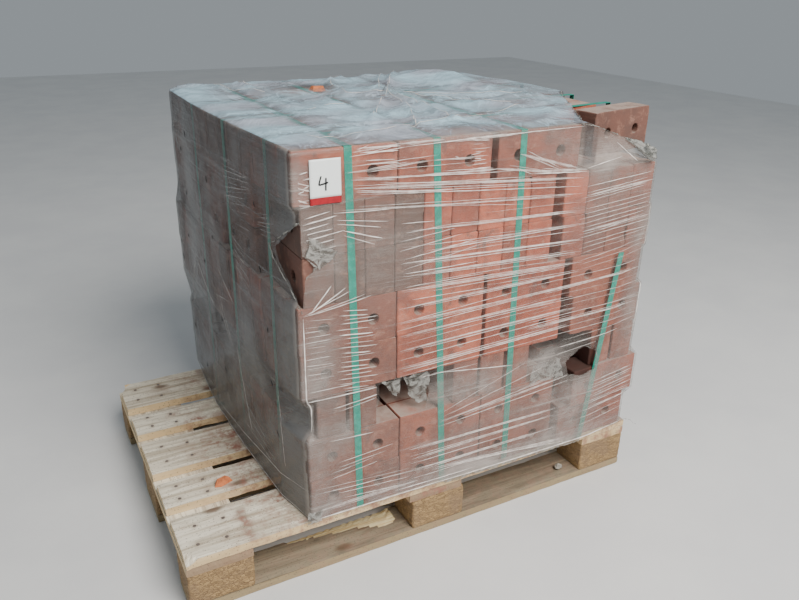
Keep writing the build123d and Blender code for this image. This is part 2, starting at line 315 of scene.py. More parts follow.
def brick_material():
    """Fired red clay: each brick its own tone, with dusty, scuffed and speckled faces, and painted shade in the
    torn mouth of the right tunnel.
    """
    s = Shader("fired_clay")
    tint = s.attribute("tint")
    grey = s.attribute("grey")
    place = s.vector_math("ADD", s.coords, s.vector(s.times(tint, 7.0), tint, grey))
    tone = s.mix(tint, (0.40, 0.092, 0.048), (0.58, 0.155, 0.080))
    cloud = s.noise(9.0, 5.0, 0.7, place)
    tone = s.mix(s.band(cloud, 0.38, 0.62, 0.0, 0.85), tone, (0.24, 0.062, 0.038))
    tone = s.mix(grey, tone, (0.105, 0.066, 0.052))
    scuff = s.noise(42.0, 6.0, 0.7, place, 0.6)
    tone = s.mix(s.band(scuff, 0.50, 0.72, 0.0, 0.32), tone, (0.58, 0.33, 0.24))
    soot = s.noise(17.0, 6.0, 0.75, place, 0.8)
    tone = s.mix(s.band(soot, 0.54, 0.70, 0.0, 0.7), tone, (0.11, 0.065, 0.055))
    speck = s.cells(420.0, place)
    tone = s.mix(s.band(speck, 0.10, 0.2, 0.5, 0.0), tone, (0.10, 0.045, 0.035))
    settled = s.band(s.noise(26.0, 6.0, 0.7), 0.3, 0.62, 0.35, 0.95)
    tone = s.mix(s.times(s.band(s.upward(), 0.7, 0.95), settled), tone, (0.40, 0.31, 0.26))
    # Painted shade: near black in the torn mouth of the right tunnel
    tone = s.mix(s.attribute("tunnel_shade"), tone, (0.034, 0.011, 0.007))
    grain = s.noise(520.0, 3.0, 0.6, place)
    drag = s.noise(30.0, 4.0, 0.6, s.moved((1.0, 1.0, 9.0)))
    height = s.plus(s.times(grain, 0.35), drag)
    return s.finish(Base_Color=tone, Roughness=s.band(scuff, 0.3, 0.8, 0.72, 0.93),
                    Normal=s.bump(height, 0.0011, 0.55))


def timber_material(name, pale, dark, sawn, stain_and_end_shade, dust):
    """Weathered sawn softwood: grain along the board, checks, knots, stains and painted shade at board ends,
    brick dust and sawn sides.
    """
    s = Shader(name)
    tint = s.attribute("tint")
    along = s.attribute("along")
    across = s.attribute("across")
    board = s.times(tint, 13.0)

    def lengthwise(scale_along, scale_across):
        return s.vector(s.times(along, scale_along), s.times(across, scale_across), board)

    grain = s.noise(1.0, 5.0, 0.62, lengthwise(2.2, 34.0), 0.9)
    fine = s.noise(1.0, 4.0, 0.7, lengthwise(9.0, 190.0), 0.2)
    patch = s.noise(1.0, 4.0, 0.65, lengthwise(7.0, 14.0), 0.4)
    tone = s.mix(s.band(grain, 0.38, 0.66), pale, dark)
    tone = s.mix(s.band(fine, 0.52, 0.76, 0.0, 0.6), tone, dimmed(dark, 0.42))
    tone = s.mix(s.band(patch, 0.56, 0.74, 0.0, 0.6), tone, dimmed(dark, 0.62))
    side = s.band(s.math("ABSOLUTE", s.upward()), 0.35, 0.8, 1.0, 0.0)
    tone = s.mix(s.times(side, 0.8), tone, sawn)
    tone = s.mix(s.band(fine, 0.5, 0.75, 0.0, 0.35), tone, dimmed(sawn, 0.45))
    knot = s.cells(1.0, lengthwise(5.0, 11.0))
    tone = s.mix(s.band(knot, 0.05, 0.16, 0.85, 0.0), tone, (0.12, 0.07, 0.04))
    speck = s.cells(150.0)
    tone = s.mix(s.band(speck, 0.13, 0.24, 0.75, 0.0), tone, (0.09, 0.075, 0.06))
    # Stains and nail rust, and painted shade on the front ends of the cross boards
    tone = s.mix(s.times(s.attribute("stain_and_end_shade"), 0.85), tone, stain_and_end_shade)
    split = s.mix(s.band(fine, 0.40, 0.66), (0.92, 0.80, 0.47), (0.66, 0.46, 0.20))
    tone = s.mix(s.band(s.attribute("fresh"), 0.5, 0.9), tone, split)
    red = s.times(s.attribute("dust"), s.band(s.noise(38.0, 6.0, 0.7), 0.4, 0.66))
    tone = s.mix(red, tone, dust)
    height = s.plus(s.times(fine, 0.8), grain)
    return s.finish(Base_Color=tone, Roughness=0.86, Normal=s.bump(height, 0.0016, 0.7))


def chip_block_material():
    """Pressed wood-chip block: flakes of many tans with dark gaps."""
    s = Shader("pressed_chip")
    where = s.vector_math("MULTIPLY", s.coords, (1.0, 1.0, 2.1))
    jumble = s.vector_math("ADD", where, s.node("TexNoise", {"Scale": 60.0}).outputs["Color"])
    flake = s.node("TexVoronoi", {"Vector": where, "Scale": 95.0, "Randomness": 1.0})
    value = s.node("SeparateColor", {0: flake.outputs["Color"]}).outputs[0]
    tone = s.mix(value, (0.165, 0.092, 0.036), (0.39, 0.24, 0.10))
    tone = s.mix(s.band(s.noise(260.0, 5.0, 0.7, jumble), 0.42, 0.7), tone, (0.50, 0.35, 0.18))
    gap = s.cells(95.0, where, "DISTANCE_TO_EDGE")
    tone = s.mix(s.band(gap, 0.0, 0.07, 0.6, 0.0), tone, (0.13, 0.08, 0.045))
    tone = s.mix(s.band(s.noise(14.0, 4.0), 0.45, 0.7, 0.0, 0.55), tone, (0.24, 0.16, 0.10))
    height = s.plus(value, s.band(gap, 0.0, 0.12))
    return s.finish(Base_Color=tone, Roughness=0.88, Normal=s.bump(height, 0.0012, 0.8))


def strap_material():
    """Green polyester strap with an embossed diamond grid and dull scuffs."""
    s = Shader("green_strap")
    emboss = s.cells(520.0, s.moved((1.0, 1.0, 0.7)))
    scuff = s.noise(60.0, 5.0, 0.65)
    tone = s.mix(s.band(scuff, 0.45, 0.72), (0.0, 0.235, 0.165), (0.01, 0.37, 0.27))
    return s.finish(Base_Color=tone, Roughness=s.band(scuff, 0.35, 0.75, 0.34, 0.52),
                    Normal=s.bump(emboss, 0.0003, 0.5))


def film_material(name, clear, thick, warm, cool, wrinkled):
    """Stretch film: nearly clear where it is taut, milky where it is dusty, doubled or creased."""
    s = Shader(name)
    long_ways = s.noise(1.5, 6.0, 0.68, s.moved((1.6, 1.6, 60.0)), 0.35)
    loose = s.noise(9.0, 8.0, 0.58, warp=1.3)
    pattern = loose if wrinkled else long_ways
    line = s.band(s.ridge(pattern), 0.0, 0.030 if wrinkled else 0.016, 1.0, 0.0)
    dust = s.band(s.noise(6.0, 7.0, 0.68, warp=0.4), 0.34, 0.68, 0.65, 1.25)
    streak = s.band(long_ways, 0.52, 0.74, 0.0, 0.05 if wrinkled else 0.38)
    milk = s.plus(s.times(s.attribute("haze"), dust), streak)
    milk = s.plus(milk, s.times(line, 0.30 if wrinkled else 0.14), True)
    alpha = s.band(milk, 0.0, 1.0, clear, thick)
    # On the walls the cool colour is painted shade; on the top it is a blue tint
    tone = s.mix(s.attribute("cool"), warm, cool)
    tone = s.mix(s.band(milk, 0.25, 1.0, 0.35, 0.0), tone, (0.20, 0.19, 0.18))
    height = s.plus(pattern, s.times(loose, 0.5))
    return s.finish(Base_Color=tone, Alpha=alpha, Roughness=0.2, IOR=1.5,
                    Normal=s.bump(height, 0.007 if wrinkled else 0.0035, 0.9))


def pleat_and_highlight_material():
    """The white lines where the film is gathered into narrow folds, partly whitened film and partly painted
    highlight; they fade to their edges.
    """
    s = Shader("film_pleats_and_highlights")
    # Painted highlight: the white is brighter in patches along each fold
    glint = s.band(s.noise(45.0, 4.0, 0.6), 0.3, 0.68, 0.55, 1.1)
    crest = s.band(s.attribute("crest"), 0.0, 0.9)
    return s.finish(Base_Color=(1.0, 0.93, 0.87), Roughness=0.25, IOR=1.5,
                    Alpha=s.times(s.times(crest, glint), s.attribute("strength"), True))


def rag_material():
    """Crushed and bunched film: cloudy and silvery, clearer between its creases."""
    s = Shader("film_crushed")
    crease = s.noise(30.0, 5.0, 0.55, warp=0.8)
    ridge = s.ridge(crease)
    tone = s.mix(s.band(ridge, 0.0, 0.14), (0.38, 0.375, 0.345), (0.11, 0.11, 0.095))
    return s.finish(Base_Color=tone, Alpha=s.band(ridge, 0.0, 0.12, 0.74, 0.46),
                    Roughness=0.14, IOR=1.5, Normal=s.bump(crease, 0.008, 0.9))


def card_material():
    """Coated card, slightly soiled."""
    s = Shader("white_card")
    soil = s.noise(40.0, 5.0, 0.6)
    tone = s.mix(s.band(soil, 0.45, 0.75, 0.0, 0.4), (0.88, 0.92, 0.90), (0.74, 0.79, 0.77))
    return s.finish(Base_Color=tone, Roughness=0.36, Normal=s.bump(soil, 0.0004, 0.4))


def plain_material(name, colour, roughness, spread=0.25):
    """A printed or scuffed surface of one colour with soft variation."""
    s = Shader(name)
    cloud = s.noise(120.0, 5.0, 0.6)
    tone = s.mix(s.band(cloud, 0.35, 0.7), colour, dimmed(colour, 1 - spread))
    return s.finish(Base_Color=tone, Roughness=roughness, Normal=s.bump(cloud, 0.0003, 0.4))


BRICK = brick_material()
DECK = timber_material("weathered_deck", pale=(0.87, 0.80, 0.645), dark=(0.47, 0.395, 0.29),
                       sawn=(0.72, 0.51, 0.25), stain_and_end_shade=(0.17, 0.10, 0.07), dust=(0.30, 0.13, 0.09))
BOTTOM = timber_material("weathered_bottom", pale=(0.28, 0.23, 0.155), dark=(0.16, 0.125, 0.085),
                         sawn=(0.36, 0.27, 0.145), stain_and_end_shade=(0.12, 0.08, 0.06), dust=(0.40, 0.20, 0.14))
CHIPWOOD = chip_block_material()
STRAP = strap_material()
# The wall film's cool colour, a dark grey, is painted shade for the left side and the gap by the loose brick
FILM = film_material("stretch_film", clear=0.06, thick=0.88, warm=(0.43, 0.385, 0.35),
                     cool=(0.150, 0.150, 0.148), wrinkled=False)
FILM_TOP = film_material("stretch_film_top", clear=0.14, thick=0.96, warm=(0.39, 0.43, 0.50),
                         cool=(0.40, 0.58, 0.68), wrinkled=True)
PLEAT_AND_HIGHLIGHT = pleat_and_highlight_material()
RAG = rag_material()
CARD = card_material()
RED_BAND = plain_material("red_band", (0.38, 0.006, 0.014), 0.4)
INK = plain_material("black_ink", (0.012, 0.012, 0.014), 0.5)
STONE = plain_material("grey_stone", (0.36, 0.33, 0.28), 0.85, 0.5)
CHIP = plain_material("orange_chip", (0.66, 0.20, 0.075), 0.85, 0.35)
NICK_BLACK = plain_material("black_nicks", (0.020, 0.017, 0.017), 0.8)
NAIL = plain_material("dull_steel", (0.16, 0.13, 0.11), 0.55)


# Bricks

def lines(half, inner):
    """Grid lines from -half to half with a narrow strip at each arris."""
    return sorted({round(sign * x, 6) for x in inner + [half - ARRIS, half] for sign in (-1, 1)})


def brick_template():
    """Points and quads of a brick, bed faces to front and back, centred, with its two bores."""
    xs = lines(BRICK_L / 2, [0, 0.0175, 0.035, 0.045, HOLE_AT, 0.065, 0.075, 0.09])
    zs = lines(BRICK_W / 2, [0, 0.010, 0.020, 0.0345])
    ys = lines(BRICK_T / 2, [0, 0.015])
    index, faces = {}, []

    def quad(points, flip):
        ids = [index.setdefault(tuple(round(c, 6) for c in p), len(index)) for p in points]
        faces.append(ids[::-1] if flip else ids)

    def in_patch(x0, x1, z0, z1):
        return abs(abs(x0 + x1) / 2 - HOLE_AT) < HOLE_PATCH and abs(z0 + z1) / 2 < HOLE_PATCH

    for side in (-1, 1):
        y = side * BRICK_T / 2
        for x0, x1 in zip(xs, xs[1:]):
            for z0, z1 in zip(zs, zs[1:]):
                if not in_patch(x0, x1, z0, z1):
                    quad([(x0, y, z0), (x1, y, z0), (x1, y, z1), (x0, y, z1)], side > 0)
        for hole in (-HOLE_AT, HOLE_AT):
            rings = [[(hole + px, y, pz) for px, pz in patch_outline()]]
            for radius, depth in BORE_RINGS:
                rings.append([(hole + px / math.hypot(px, pz) * radius, y - side * depth,
                               pz / math.hypot(px, pz) * radius) for px, pz in patch_outline()])
            if side < 0:
                rings.append([(x, BRICK_T / 2 - BORE_END, z) for x, _, z in rings[-1]])
            for outer, inner in zip(rings, rings[1:]):
                for i in range(-len(outer), 0):
                    quad([outer[i], outer[i + 1], inner[i + 1], inner[i]], side > 0)
    for side in (-1, 1):
        x, z = side * BRICK_L / 2, side * BRICK_W / 2
        for y0, y1 in zip(ys, ys[1:]):
            for z0, z1 in zip(zs, zs[1:]):
                quad([(x, y0, z0), (x, y1, z0), (x, y1, z1), (x, y0, z1)], side < 0)
        for x0, x1 in zip(xs, xs[1:]):
            for y0, y1 in zip(ys, ys[1:]):
                quad([(x0, y0, z), (x1, y0, z), (x1, y1, z), (x0, y1, z)], side < 0)
    return np.array(list(index)), faces


def patch_outline():
    """Grid points round the square patch that holds one bore, from the bore's middle."""
    p = HOLE_PATCH
    steps = [-p, -p / 2, 0.0, p / 2]
    return ([(t, -p) for t in steps] + [(p, t) for t in steps] + [(-t, p) for t in steps]
            + [(-p, -t) for t in steps])


def worn_brick(points, seed):
    """The template with eased arrises, a few knocked corners and spalled edges."""
    r = random.Random(seed)
    half = np.array([BRICK_L / 2, BRICK_T / 2, BRICK_W / 2])
    out = points.copy()
    at_edge = (np.abs(out) > half - 0.2 * MM).sum(axis=1)
    pull = np.where(at_edge >= 2, 0.9 * MM, 0.0)
    out -= np.sign(out) * pull[:, None] * (np.abs(points) > half - 0.2 * MM)
    for _ in range(r.randint(3, 6)):
        signs = np.array([r.choice((-1, 1)) for _ in range(3)], float)
        kind = r.random()
        normal = signs * np.array([r.uniform(0.5, 1), r.uniform(0.5, 1), r.uniform(0.5, 1)])
        if kind < 0.6:
            normal[r.randrange(3)] *= 0.08
            depth = r.uniform(1.2, 3.2) * MM
        else:
            depth = r.uniform(2.0, 5.5) * MM
        normal /= np.linalg.norm(normal)
        corner = signs * half
        if kind < 0.6:
            corner = corner * np.where(np.abs(normal) < 0.2, r.uniform(-1, 1), 1.0)
            near = np.linalg.norm(out - corner, axis=1) < r.uniform(0.018, 0.045)
        else:
            near = np.ones(len(out), bool)
        beyond = (out - corner) @ normal + depth
        out -= np.where(near & (beyond > 0), beyond, 0.0)[:, None] * normal
    return out


TEMPLATE, TEMPLATE_FACES = brick_template()
WORN = [worn_brick(TEMPLATE, 40 + i) for i in range(9)]


def brick_pose(points):
    """Centre and plan direction of a brick's length from the points of its solid, or None."""
    low, high = points.min(axis=0), points.max(axis=0)
    centre = (low + high) / 2
    flat = points[:, :2] - centre[:2]
    far = flat[np.argsort(-np.linalg.norm(flat, axis=1))]
    corner = far[0]
    for other in far[1:]:
        span = np.linalg.norm(other - corner)
        if abs(span - BRICK_L) < 1.0 * MM:
            direction = (other - corner) / span
            if abs(np.linalg.norm(corner) - math.hypot(BRICK_L, BRICK_T) / 2) > 1.0 * MM:
                return None
            return centre, math.atan2(direction[1], direction[0])
    return None


def core_mesh(points):
    """A plain block that fills the hidden middle of a course."""
    low, high = points.min(axis=0), points.max(axis=0)
    verts = [(x, y, z) for z in (low[2], high[2]) for y in (low[1], high[1]) for x in (low[0], high[0])]
    faces = [[0, 1, 5, 4], [1, 3, 7, 5], [3, 2, 6, 7], [2, 0, 4, 6], [4, 5, 7, 6], [0, 2, 3, 1]]
    return np.array(verts), faces


# Greyness of the front bricks from left to right, by course
FRONT_GREY = {1: (0.66, 0.52, 0.48, 0.40), 2: (0.74, 0.42, 0.48, 0.24), 3: (0.76, 0.60, 0.50, 0.45),
              4: (0.62, 0.18, 0.05, 0.34), 5: (0.58, 0.12, 0.08, 0.44), 8: (0.32, 0.30, 0.46, 0.85)}
# Painted shade: the torn mouth of the right tunnel is drawn near black; middle, half widths
TUNNEL_SHADE_AT = np.array([0.405, -0.360, 0.375])
TUNNEL_SHADE_SPREAD = np.array([0.055, 0.080, 0.070])


def brick_tone(centre):
    """Redness and greyness of a brick: dull and dusty at the front left, warm orange to the right."""
    x, y, z = centre
    course = int((z - STACK_FOOT) / BRICK_W) + 1
    redness = rng.random()
    grey = 0.06 + 0.24 * rng.random()
    if rng.random() < 0.25:
        grey += 0.25
    if y < FRONT_ROW_Y:
        if course in (6, 7):
            grey = rng.uniform(0.78, 0.98) if x < -0.06 else rng.uniform(0.0, 0.22)
            if x > 0.38:
                grey = rng.uniform(0.35, 0.60)
        else:
            place = min(3, int((x - STACK_LEFT) / BRICK_PITCH))
            grey = FRONT_GREY[course][place] + rng.uniform(-0.05, 0.05)
    elif x < LEFT_ROW_X:
        grey = rng.uniform(0.45, 0.9)
    return redness, max(0.0, grey)


def dress_course(number):
    """One joined mesh of worn bricks in place of a course."""
    node = f"brick_course_{number}"
    verts, faces, tint, grey = [], [], [], []
    for points in loose_parts(nodes[node]):
        pose = brick_pose(points)
        if pose is None:
            co, quads = core_mesh(points)
            redness, dull = 0.4, 0.5
        else:
            centre, angle = pose
            co = WORN[rng.randrange(len(WORN))].copy()
            if rng.random() < 0.5:
                angle += math.pi
            turn = np.array([[math.cos(angle), -math.sin(angle)], [math.sin(angle), math.cos(angle)]])
            if rng.random() < 0.5:
                co *= np.array([1, -1, -1])
            co[:, :2] = co[:, :2] @ turn.T
            co += centre
            quads = TEMPLATE_FACES
            redness, dull = brick_tone(centre)
        verts.append(co)
        faces += [[i + len(tint) for i in f] for f in quads]
        tint += [redness] * len(co)
        grey += [dull] * len(co)
    verts = np.concatenate(verts)
    # Share of painted shade at each point, near the torn mouth of the right tunnel
    tunnel_shade = np.clip(1.85 - 1.1 * (((verts - TUNNEL_SHADE_AT) / TUNNEL_SHADE_SPREAD) ** 2).sum(axis=1), 0.0, 0.95)
    obj = mesh_object(f"bricks_{number}", verts, faces, BRICK, False,
                      {"tint": tint, "grey": grey, "tunnel_shade": tunnel_shade.tolist()})
    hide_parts(node)


for course in COURSES:
    dress_course(course)


# Pallet

PARTS = ("front", "front_inner", "centre", "back_inner", "back")
COLUMN_NAMES = ("left", "centre", "right")
NAILS = []
NAIL_STAIN = 7 * MM
# A nail head's rings: radius and height in mm
NAIL_PROFILE = ((4.1, -1.6), (4.1, 0.1), (3.5, 0.5))
# Inner edge of the split-off splinter: place along the board and across it
SPLINTER_EDGE = ((0.250, 0.095), (0.364, 0.076), (0.436, 0.065), (0.461, 0.049), (0.501, 0.045),
                 (0.522, 0.058))
# Marks on the deck: x, y, half width along x and y, dirt, brick dust
DECK_MARKS = [
    (-0.365, -0.172, 0.060, 0.040, 0.42, 0.9),
    (-0.385, -0.026, 0.070, 0.050, 0.68, 0.8),
    (-0.330, -0.302, 0.040, 0.024, 0.10, 1.0),
    (-0.404, -0.270, 0.020, 0.010, 0.10, 1.0),
    (-0.576, -0.288, 0.010, 0.008, 0.10, 1.0),
    (-0.476, 0.183, 0.022, 0.013, 0.30, 1.0),
    (-0.450, 0.124, 0.024, 0.012, 0.10, 0.9),
    (-0.448, 0.324, 0.080, 0.018, 0.50, 0.0),
    (-0.500, 0.300, 0.060, 0.012, 0.35, 0.0),
]
DECK_MARKS += [(-0.452, -0.292 - 0.016 * k, 0.010, 0.011, 0.95 - 0.08 * k, 0.5) for k in range(7)]


def board_lines(size):
    """Grid lines along a side of a board, with a narrow strip at both arrises."""
    count = max(2, round(size / BOARD_CELL))
    inner = [size * i / count for i in range(1, count)]
    return [0.0, BOARD_ARRIS] + inner + [size - BOARD_ARRIS, size]


def box_grid(*lines_by_axis):
    """Points and quads of a closed box with grid lines along its length, width and height."""
    index, faces = {}, []

    def quad(corner, first, then):
        """A quad by its first corner and the axes of its first and second sides."""
        key, ids = list(corner), []
        for axis, step in ((0, 0), (first, 1), (then, 1), (first, -1)):
            key[axis] += step
            ids.append(index.setdefault(tuple(key), len(index)))
        faces.append(ids)

    na, nb, nc = (len(line) - 1 for line in lines_by_axis)
    for a in range(na):
        for b in range(nb):
            quad((a, b, nc), 0, 1)
            quad((a, b, 0), 1, 0)
        for c in range(nc):
            quad((a, 0, c), 0, 2)
            quad((a, nb, c), 2, 0)
    for b in range(nb):
        for c in range(nc):
            quad((0, b, c), 2, 1)
            quad((na, b, c), 1, 2)
    return [[line[i] for line, i in zip(lines_by_axis, key)] for key in index], faces


def worn_point(point, size, seed, wear):
    """A point of a board by length, width and height, with bitten arrises and a cupped top."""
    a, b, c = point
    edge_a, edge_b, edge_c = (min(v, whole - v) for v, whole in zip(point, size))
    in_a, in_b, in_c = (1 if v < whole / 2 else -1 for v, whole in zip(point, size))
    rough = 0.5 + 0.5 * wander(a * 26, b * 9, seed)
    bite = 0.6 * MM + wear * max(0.0, rough - 0.45) ** 1.5
    if edge_b < ON_STRIP and edge_c < ON_STRIP:
        b += in_b * bite * (1 if edge_b < ON_FACE else 0.4)
        c += in_c * bite * (1 if edge_c < ON_FACE else 0.4)
    elif edge_b < ON_FACE:
        b += in_b * 0.5 * MM * (1 + wander(a * 40, c * 90, seed + 3))
    if edge_a < ON_STRIP and (edge_c < ON_STRIP or edge_b < ON_STRIP):
        a += in_a * bite * 1.3 * (1 if edge_a < ON_FACE else 0.4)
        if edge_c < ON_STRIP:
            c += in_c * bite * 0.9
    if edge_a < ON_FACE:
        a += in_a * (1.0 + wander(b * 120, c * 60, seed + 5)) * MM
    if c > size[2] * 0.8:
        c -= 0.45 * MM * (1 + wander(a * 7, b * 60, seed + 7))
    return a, b, c


def board_marks(x, y, foot, painted_end_shade):
    """Dirt, painted shade at a cross board's front end and brick dust at a place on a board whose underside is
    at a height.
    """
    near = [(nx, ny) for nx, ny in NAILS if abs(nx - x) < 30 * MM and abs(ny - y) < 30 * MM]
    rust = max([bell((x - nx) / NAIL_STAIN, (y - ny) / NAIL_STAIN) for nx, ny in near] or [0.0])
    dirt_and_end_shade = 0.75 * rust + painted_end_shade
    bare = max(0.0, (-0.30 - x) / 0.26)
    red = (1.0 - bare) * (0.8 if foot > 0.1 else 0.2) if x > -0.56 else 0.0
    if foot > 0.12:
        for mark_x, mark_y, wide, deep, black, brick in DECK_MARKS:
            spot = bell((x - mark_x) / wide, (y - mark_y) / deep)
            dirt_and_end_shade += black * spot * (0.7 + 0.6 * wander(x * 25, y * 60, 8.0))
            red += brick * spot
    return clamp(dirt_and_end_shade), min(1.0, red)


def board_mesh(name, node, material, along_x, wear, splinter=None, painted_end_shade=0.0):
    """A sawn board as a fine closed grid: worn arrises, cupped top, stains, painted shade at its front end and
    brick dust.
    """
    low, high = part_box(node)
    size = high - low
    length, width = (size.x, size.y) if along_x else (size.y, size.x)
    thick = size.z
    seed = rng.random() * 50
    heights = [0.0, BOARD_ARRIS, thick / 2, thick - BOARD_ARRIS, thick]
    points, faces = box_grid(board_lines(length), board_lines(width), heights)
    placed = []
    looks = {key: [] for key in ("tint", "along", "across", "stain_and_end_shade", "dust", "fresh")}
    for point in points:
        a, b, c = worn_point(point, (length, width, thick), seed, wear)
        fresh = 0.0
        if splinter:
            a, b, c, fresh = splinter(a, b, c, width, thick)
        x, y = (low.x + a, low.y + b) if along_x else (low.x + b, low.y + a)
        # Only the first 4 mm from a board's end take the painted end shade
        dirt_and_end_shade, red = board_marks(x, y, low.z, painted_end_shade if a < 4 * MM else 0.0)
        placed.append((x, y, low.z + c))
        for values, value in zip(looks.values(), (seed / 50, a, b + 0.4 * c, dirt_and_end_shade, red, fresh)):
            values.append(value)
    obj = mesh_object(name, placed, faces, material, False, looks)
    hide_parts(node)


# How single boards are broken: a point by length, width and height, and 1 where the wood is fresh

def lost_corner(a, b, c, width, thick):
    """Front board, left end: the corner has been knocked off."""
    reach = 26 * MM - a - 0.8 * b
    if reach > 0 and c > thick * 0.2:
        c -= min(reach * 0.9, thick * 0.55)
    return a, b, c, 0.0


def split_end(a, b, c, width, thick):
    """Back board, left end: the outer corner has splintered along the grain."""
    start = width - 42 * MM
    if b > start:
        tooth = 0.5 + 0.5 * math.sin(b * 700) * math.cos(b * 331)
        a = max(a, (8 + 34 * (b - start) / (42 * MM) * tooth) * MM)
    return a, b, c, 0.0


def torn_rear(a, b, c, width, thick):
    """Front bottom board: a long splinter has split off its rear edge, up to a broken end."""
    if not 0.250 < a < 0.522 or c < thick * 0.3:
        return a, b, c, 0.0
    inner = np.interp(a, *zip(*SPLINTER_EDGE)) + 1.6 * MM * math.sin(a * 210) * math.cos(a * 83)
    if b < inner - 5 * MM:
        return a, b, c, 0.0
    b = max(b, inner)
    tooth = 0.5 + 0.5 * math.sin(a * 290) * math.cos(b * 410)
    c -= (1.0 + 3.0 * (b - inner) / (width - inner)) * MM * (0.8 + 0.4 * tooth)
    if b > width - 10 * MM:
        b -= 3 * MM * tooth
    if a > 0.500 and b > 0.070:
        c += 7 * MM * tooth
    return a, b, c, 1.0


def set_nails():
    """Nail places: pairs where each deck board crosses a cross board."""
    for deck in PARTS:
        low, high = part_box(f"deck_board_{deck}")
        for cross in COLUMN_NAMES:
            cross_low, cross_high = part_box(f"cross_board_{cross}")
            for dx in (-32 * MM, 30 * MM):
                for share in (0.27, 0.72):
                    x = (cross_low.x + cross_high.x) / 2 + dx + rng.uniform(-6, 6) * MM
                    y = low.y + (high.y - low.y) * share + rng.uniform(-6, 6) * MM
                    NAILS.append((x, y))


def nail_heads():
    """Flat steel nail heads, a little below or above the boards."""
    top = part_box("deck_board_front")[1].z
    verts, faces = [], []
    n = 12
    for x, y in NAILS:
        z = top + rng.uniform(-0.3, 0.25) * MM
        base = len(verts)
        for radius, lift in NAIL_PROFILE:
            verts += [(x + radius * MM * cos, y + radius * MM * sin, z + lift * MM) for cos, sin in around(n)]
        faces += grid_faces(3, n, base, closed=True)
        faces.append([base + 2 * n + k for k in range(n)])
        faces.append([base + k for k in range(n)][::-1])
    mesh_object("nail_heads", verts, faces, NAIL, False)


def block_mesh(node):
    """A pressed block with rounded corners and a slightly swollen, crumbly surface."""
    low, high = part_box(node)
    size = high - low
    corner, step, levels = 6 * MM, 7 * MM, 12
    right, back = size.x - corner, size.y - corner
    outline = []
    for cx, cy, start in ((right, corner, -90), (right, back, 0), (corner, back, 90), (corner, corner, 180)):
        for k in range(5):
            t = math.radians(start + 90 * k / 4)
            outline.append((cx + corner * math.cos(t), cy + corner * math.sin(t)))
    dense = []
    for p, q in zip(outline, outline[1:] + outline[:1]):
        parts = max(1, round(math.dist(p, q) / step))
        dense += [(p[0] + (q[0] - p[0]) * k / parts, p[1] + (q[1] - p[1]) * k / parts) for k in range(parts)]
    seed = rng.random() * 30
    verts = []
    n = len(dense)
    mx, my = size.x / 2, size.y / 2
    for level in range(levels + 1):
        z = size.z * level / levels
        ease = 1.2 * MM if level in (0, levels) else 0.0
        for px, py in dense:
            dent = 0.7 * MM * (1 + wander(px * 70, py * 70, z * 70 + seed)) + ease
            reach = math.hypot(px - mx, py - my)
            x, y = low.x + px - (px - mx) / reach * dent, low.y + py - (py - my) / reach * dent
            verts.append((x, y, low.z + z))
    faces = grid_faces(levels + 1, n, closed=True)
    faces.append([levels * n + k for k in range(n)])
    faces.append(list(range(n))[::-1])
    obj = mesh_object("chip_" + node, verts, faces, CHIPWOOD, False)
    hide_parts(node)


set_nails()
broken = {"front": lost_corner, "back": split_end}
for part in PARTS:
    board_mesh(f"board_{part}", f"deck_board_{part}", DECK, True, DECK_WEAR, broken.get(part))
# The cross boards' front ends get painted shade: strong on the left and centre boards, faint on the right one
for side in COLUMN_NAMES:
    board_mesh(f"cross_{side}", f"cross_board_{side}", DECK, False, CROSS_WEAR,
               painted_end_shade=0.10 if side == "right" else 0.85)
for part in PARTS[::2]:
    board_mesh(f"bottom_{part}", f"bottom_board_{part}", BOTTOM, True, BOTTOM_WEAR,
               torn_rear if part == "front" else None)
for row in PARTS[::2]:
    for side in COLUMN_NAMES:
        block_mesh(f"block_{row}_{side}")
nail_heads()


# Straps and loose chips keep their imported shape
for name, obj in nodes.items():
    if name.startswith(("strap_", "brick_chip")):
        obj.data.materials.clear()
        obj.data.materials.append(STRAP if name.startswith("strap_") else CHIP)


# Film

# The film's columns aim outward from this place in plan
CENTRE = Vector((0.10, 0.03))


def strap_points(name, z):
    """Plan points where a strap's upright runs stand off the bricks at a height."""
    low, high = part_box(name)
    points = node_points(name)
    if name.startswith("strap_side"):
        sides = (points[:, 0] < low.x + 2 * MM) | (points[:, 0] > high.x - 2 * MM)
        return [tuple(p[:2]) for p in points[sides]]
    if name.startswith("strap_front"):
        return [tuple(p[:2]) for p in points[points[:, 1] > high.y - 2 * MM]]
    run = points[points[:, 1] < low.y + 2 * MM]
    run = run[np.abs(run[:, 2] - low.z) > 2 * MM] if z > low.z else run
    top = run[:, 2].max()
    if z > top:
        return []
    foot_x = points[(points[:, 1] < low.y + 2 * MM) & (points[:, 2] < low.z + 2 * MM)][:, 0].mean()
    top_x = run[run[:, 2] > top - 2 * MM][:, 0].mean()
    x = foot_x + (top_x - foot_x) * (z - low.z) / (top - low.z)
    return [(x - 9 * MM, low.y), (x + 9 * MM, low.y)]


def course_outline(number):
    """Plan hull of a course as the film meets it; the loose corner brick stands outside it."""
    points = []
    low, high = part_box(f"brick_course_{number}")
    for part in loose_parts(nodes[f"brick_course_{number}"]):
        middle = part.mean(axis=0)
        if number < 8 or middle[0] < FREE_BRICK_X or middle[1] > FREE_BRICK_Y:
            points.extend(tuple(p[:2]) for p in part)
    if number == 8:
        points.append((max(x for x, _ in points), low.y))
    for name in nodes:
        if name.startswith("strap_"):
            points.extend(strap_points(name, (low.z + high.z) / 2))
    return convex_hull(points)


HULLS = [course_outline(n) for n in COURSES]


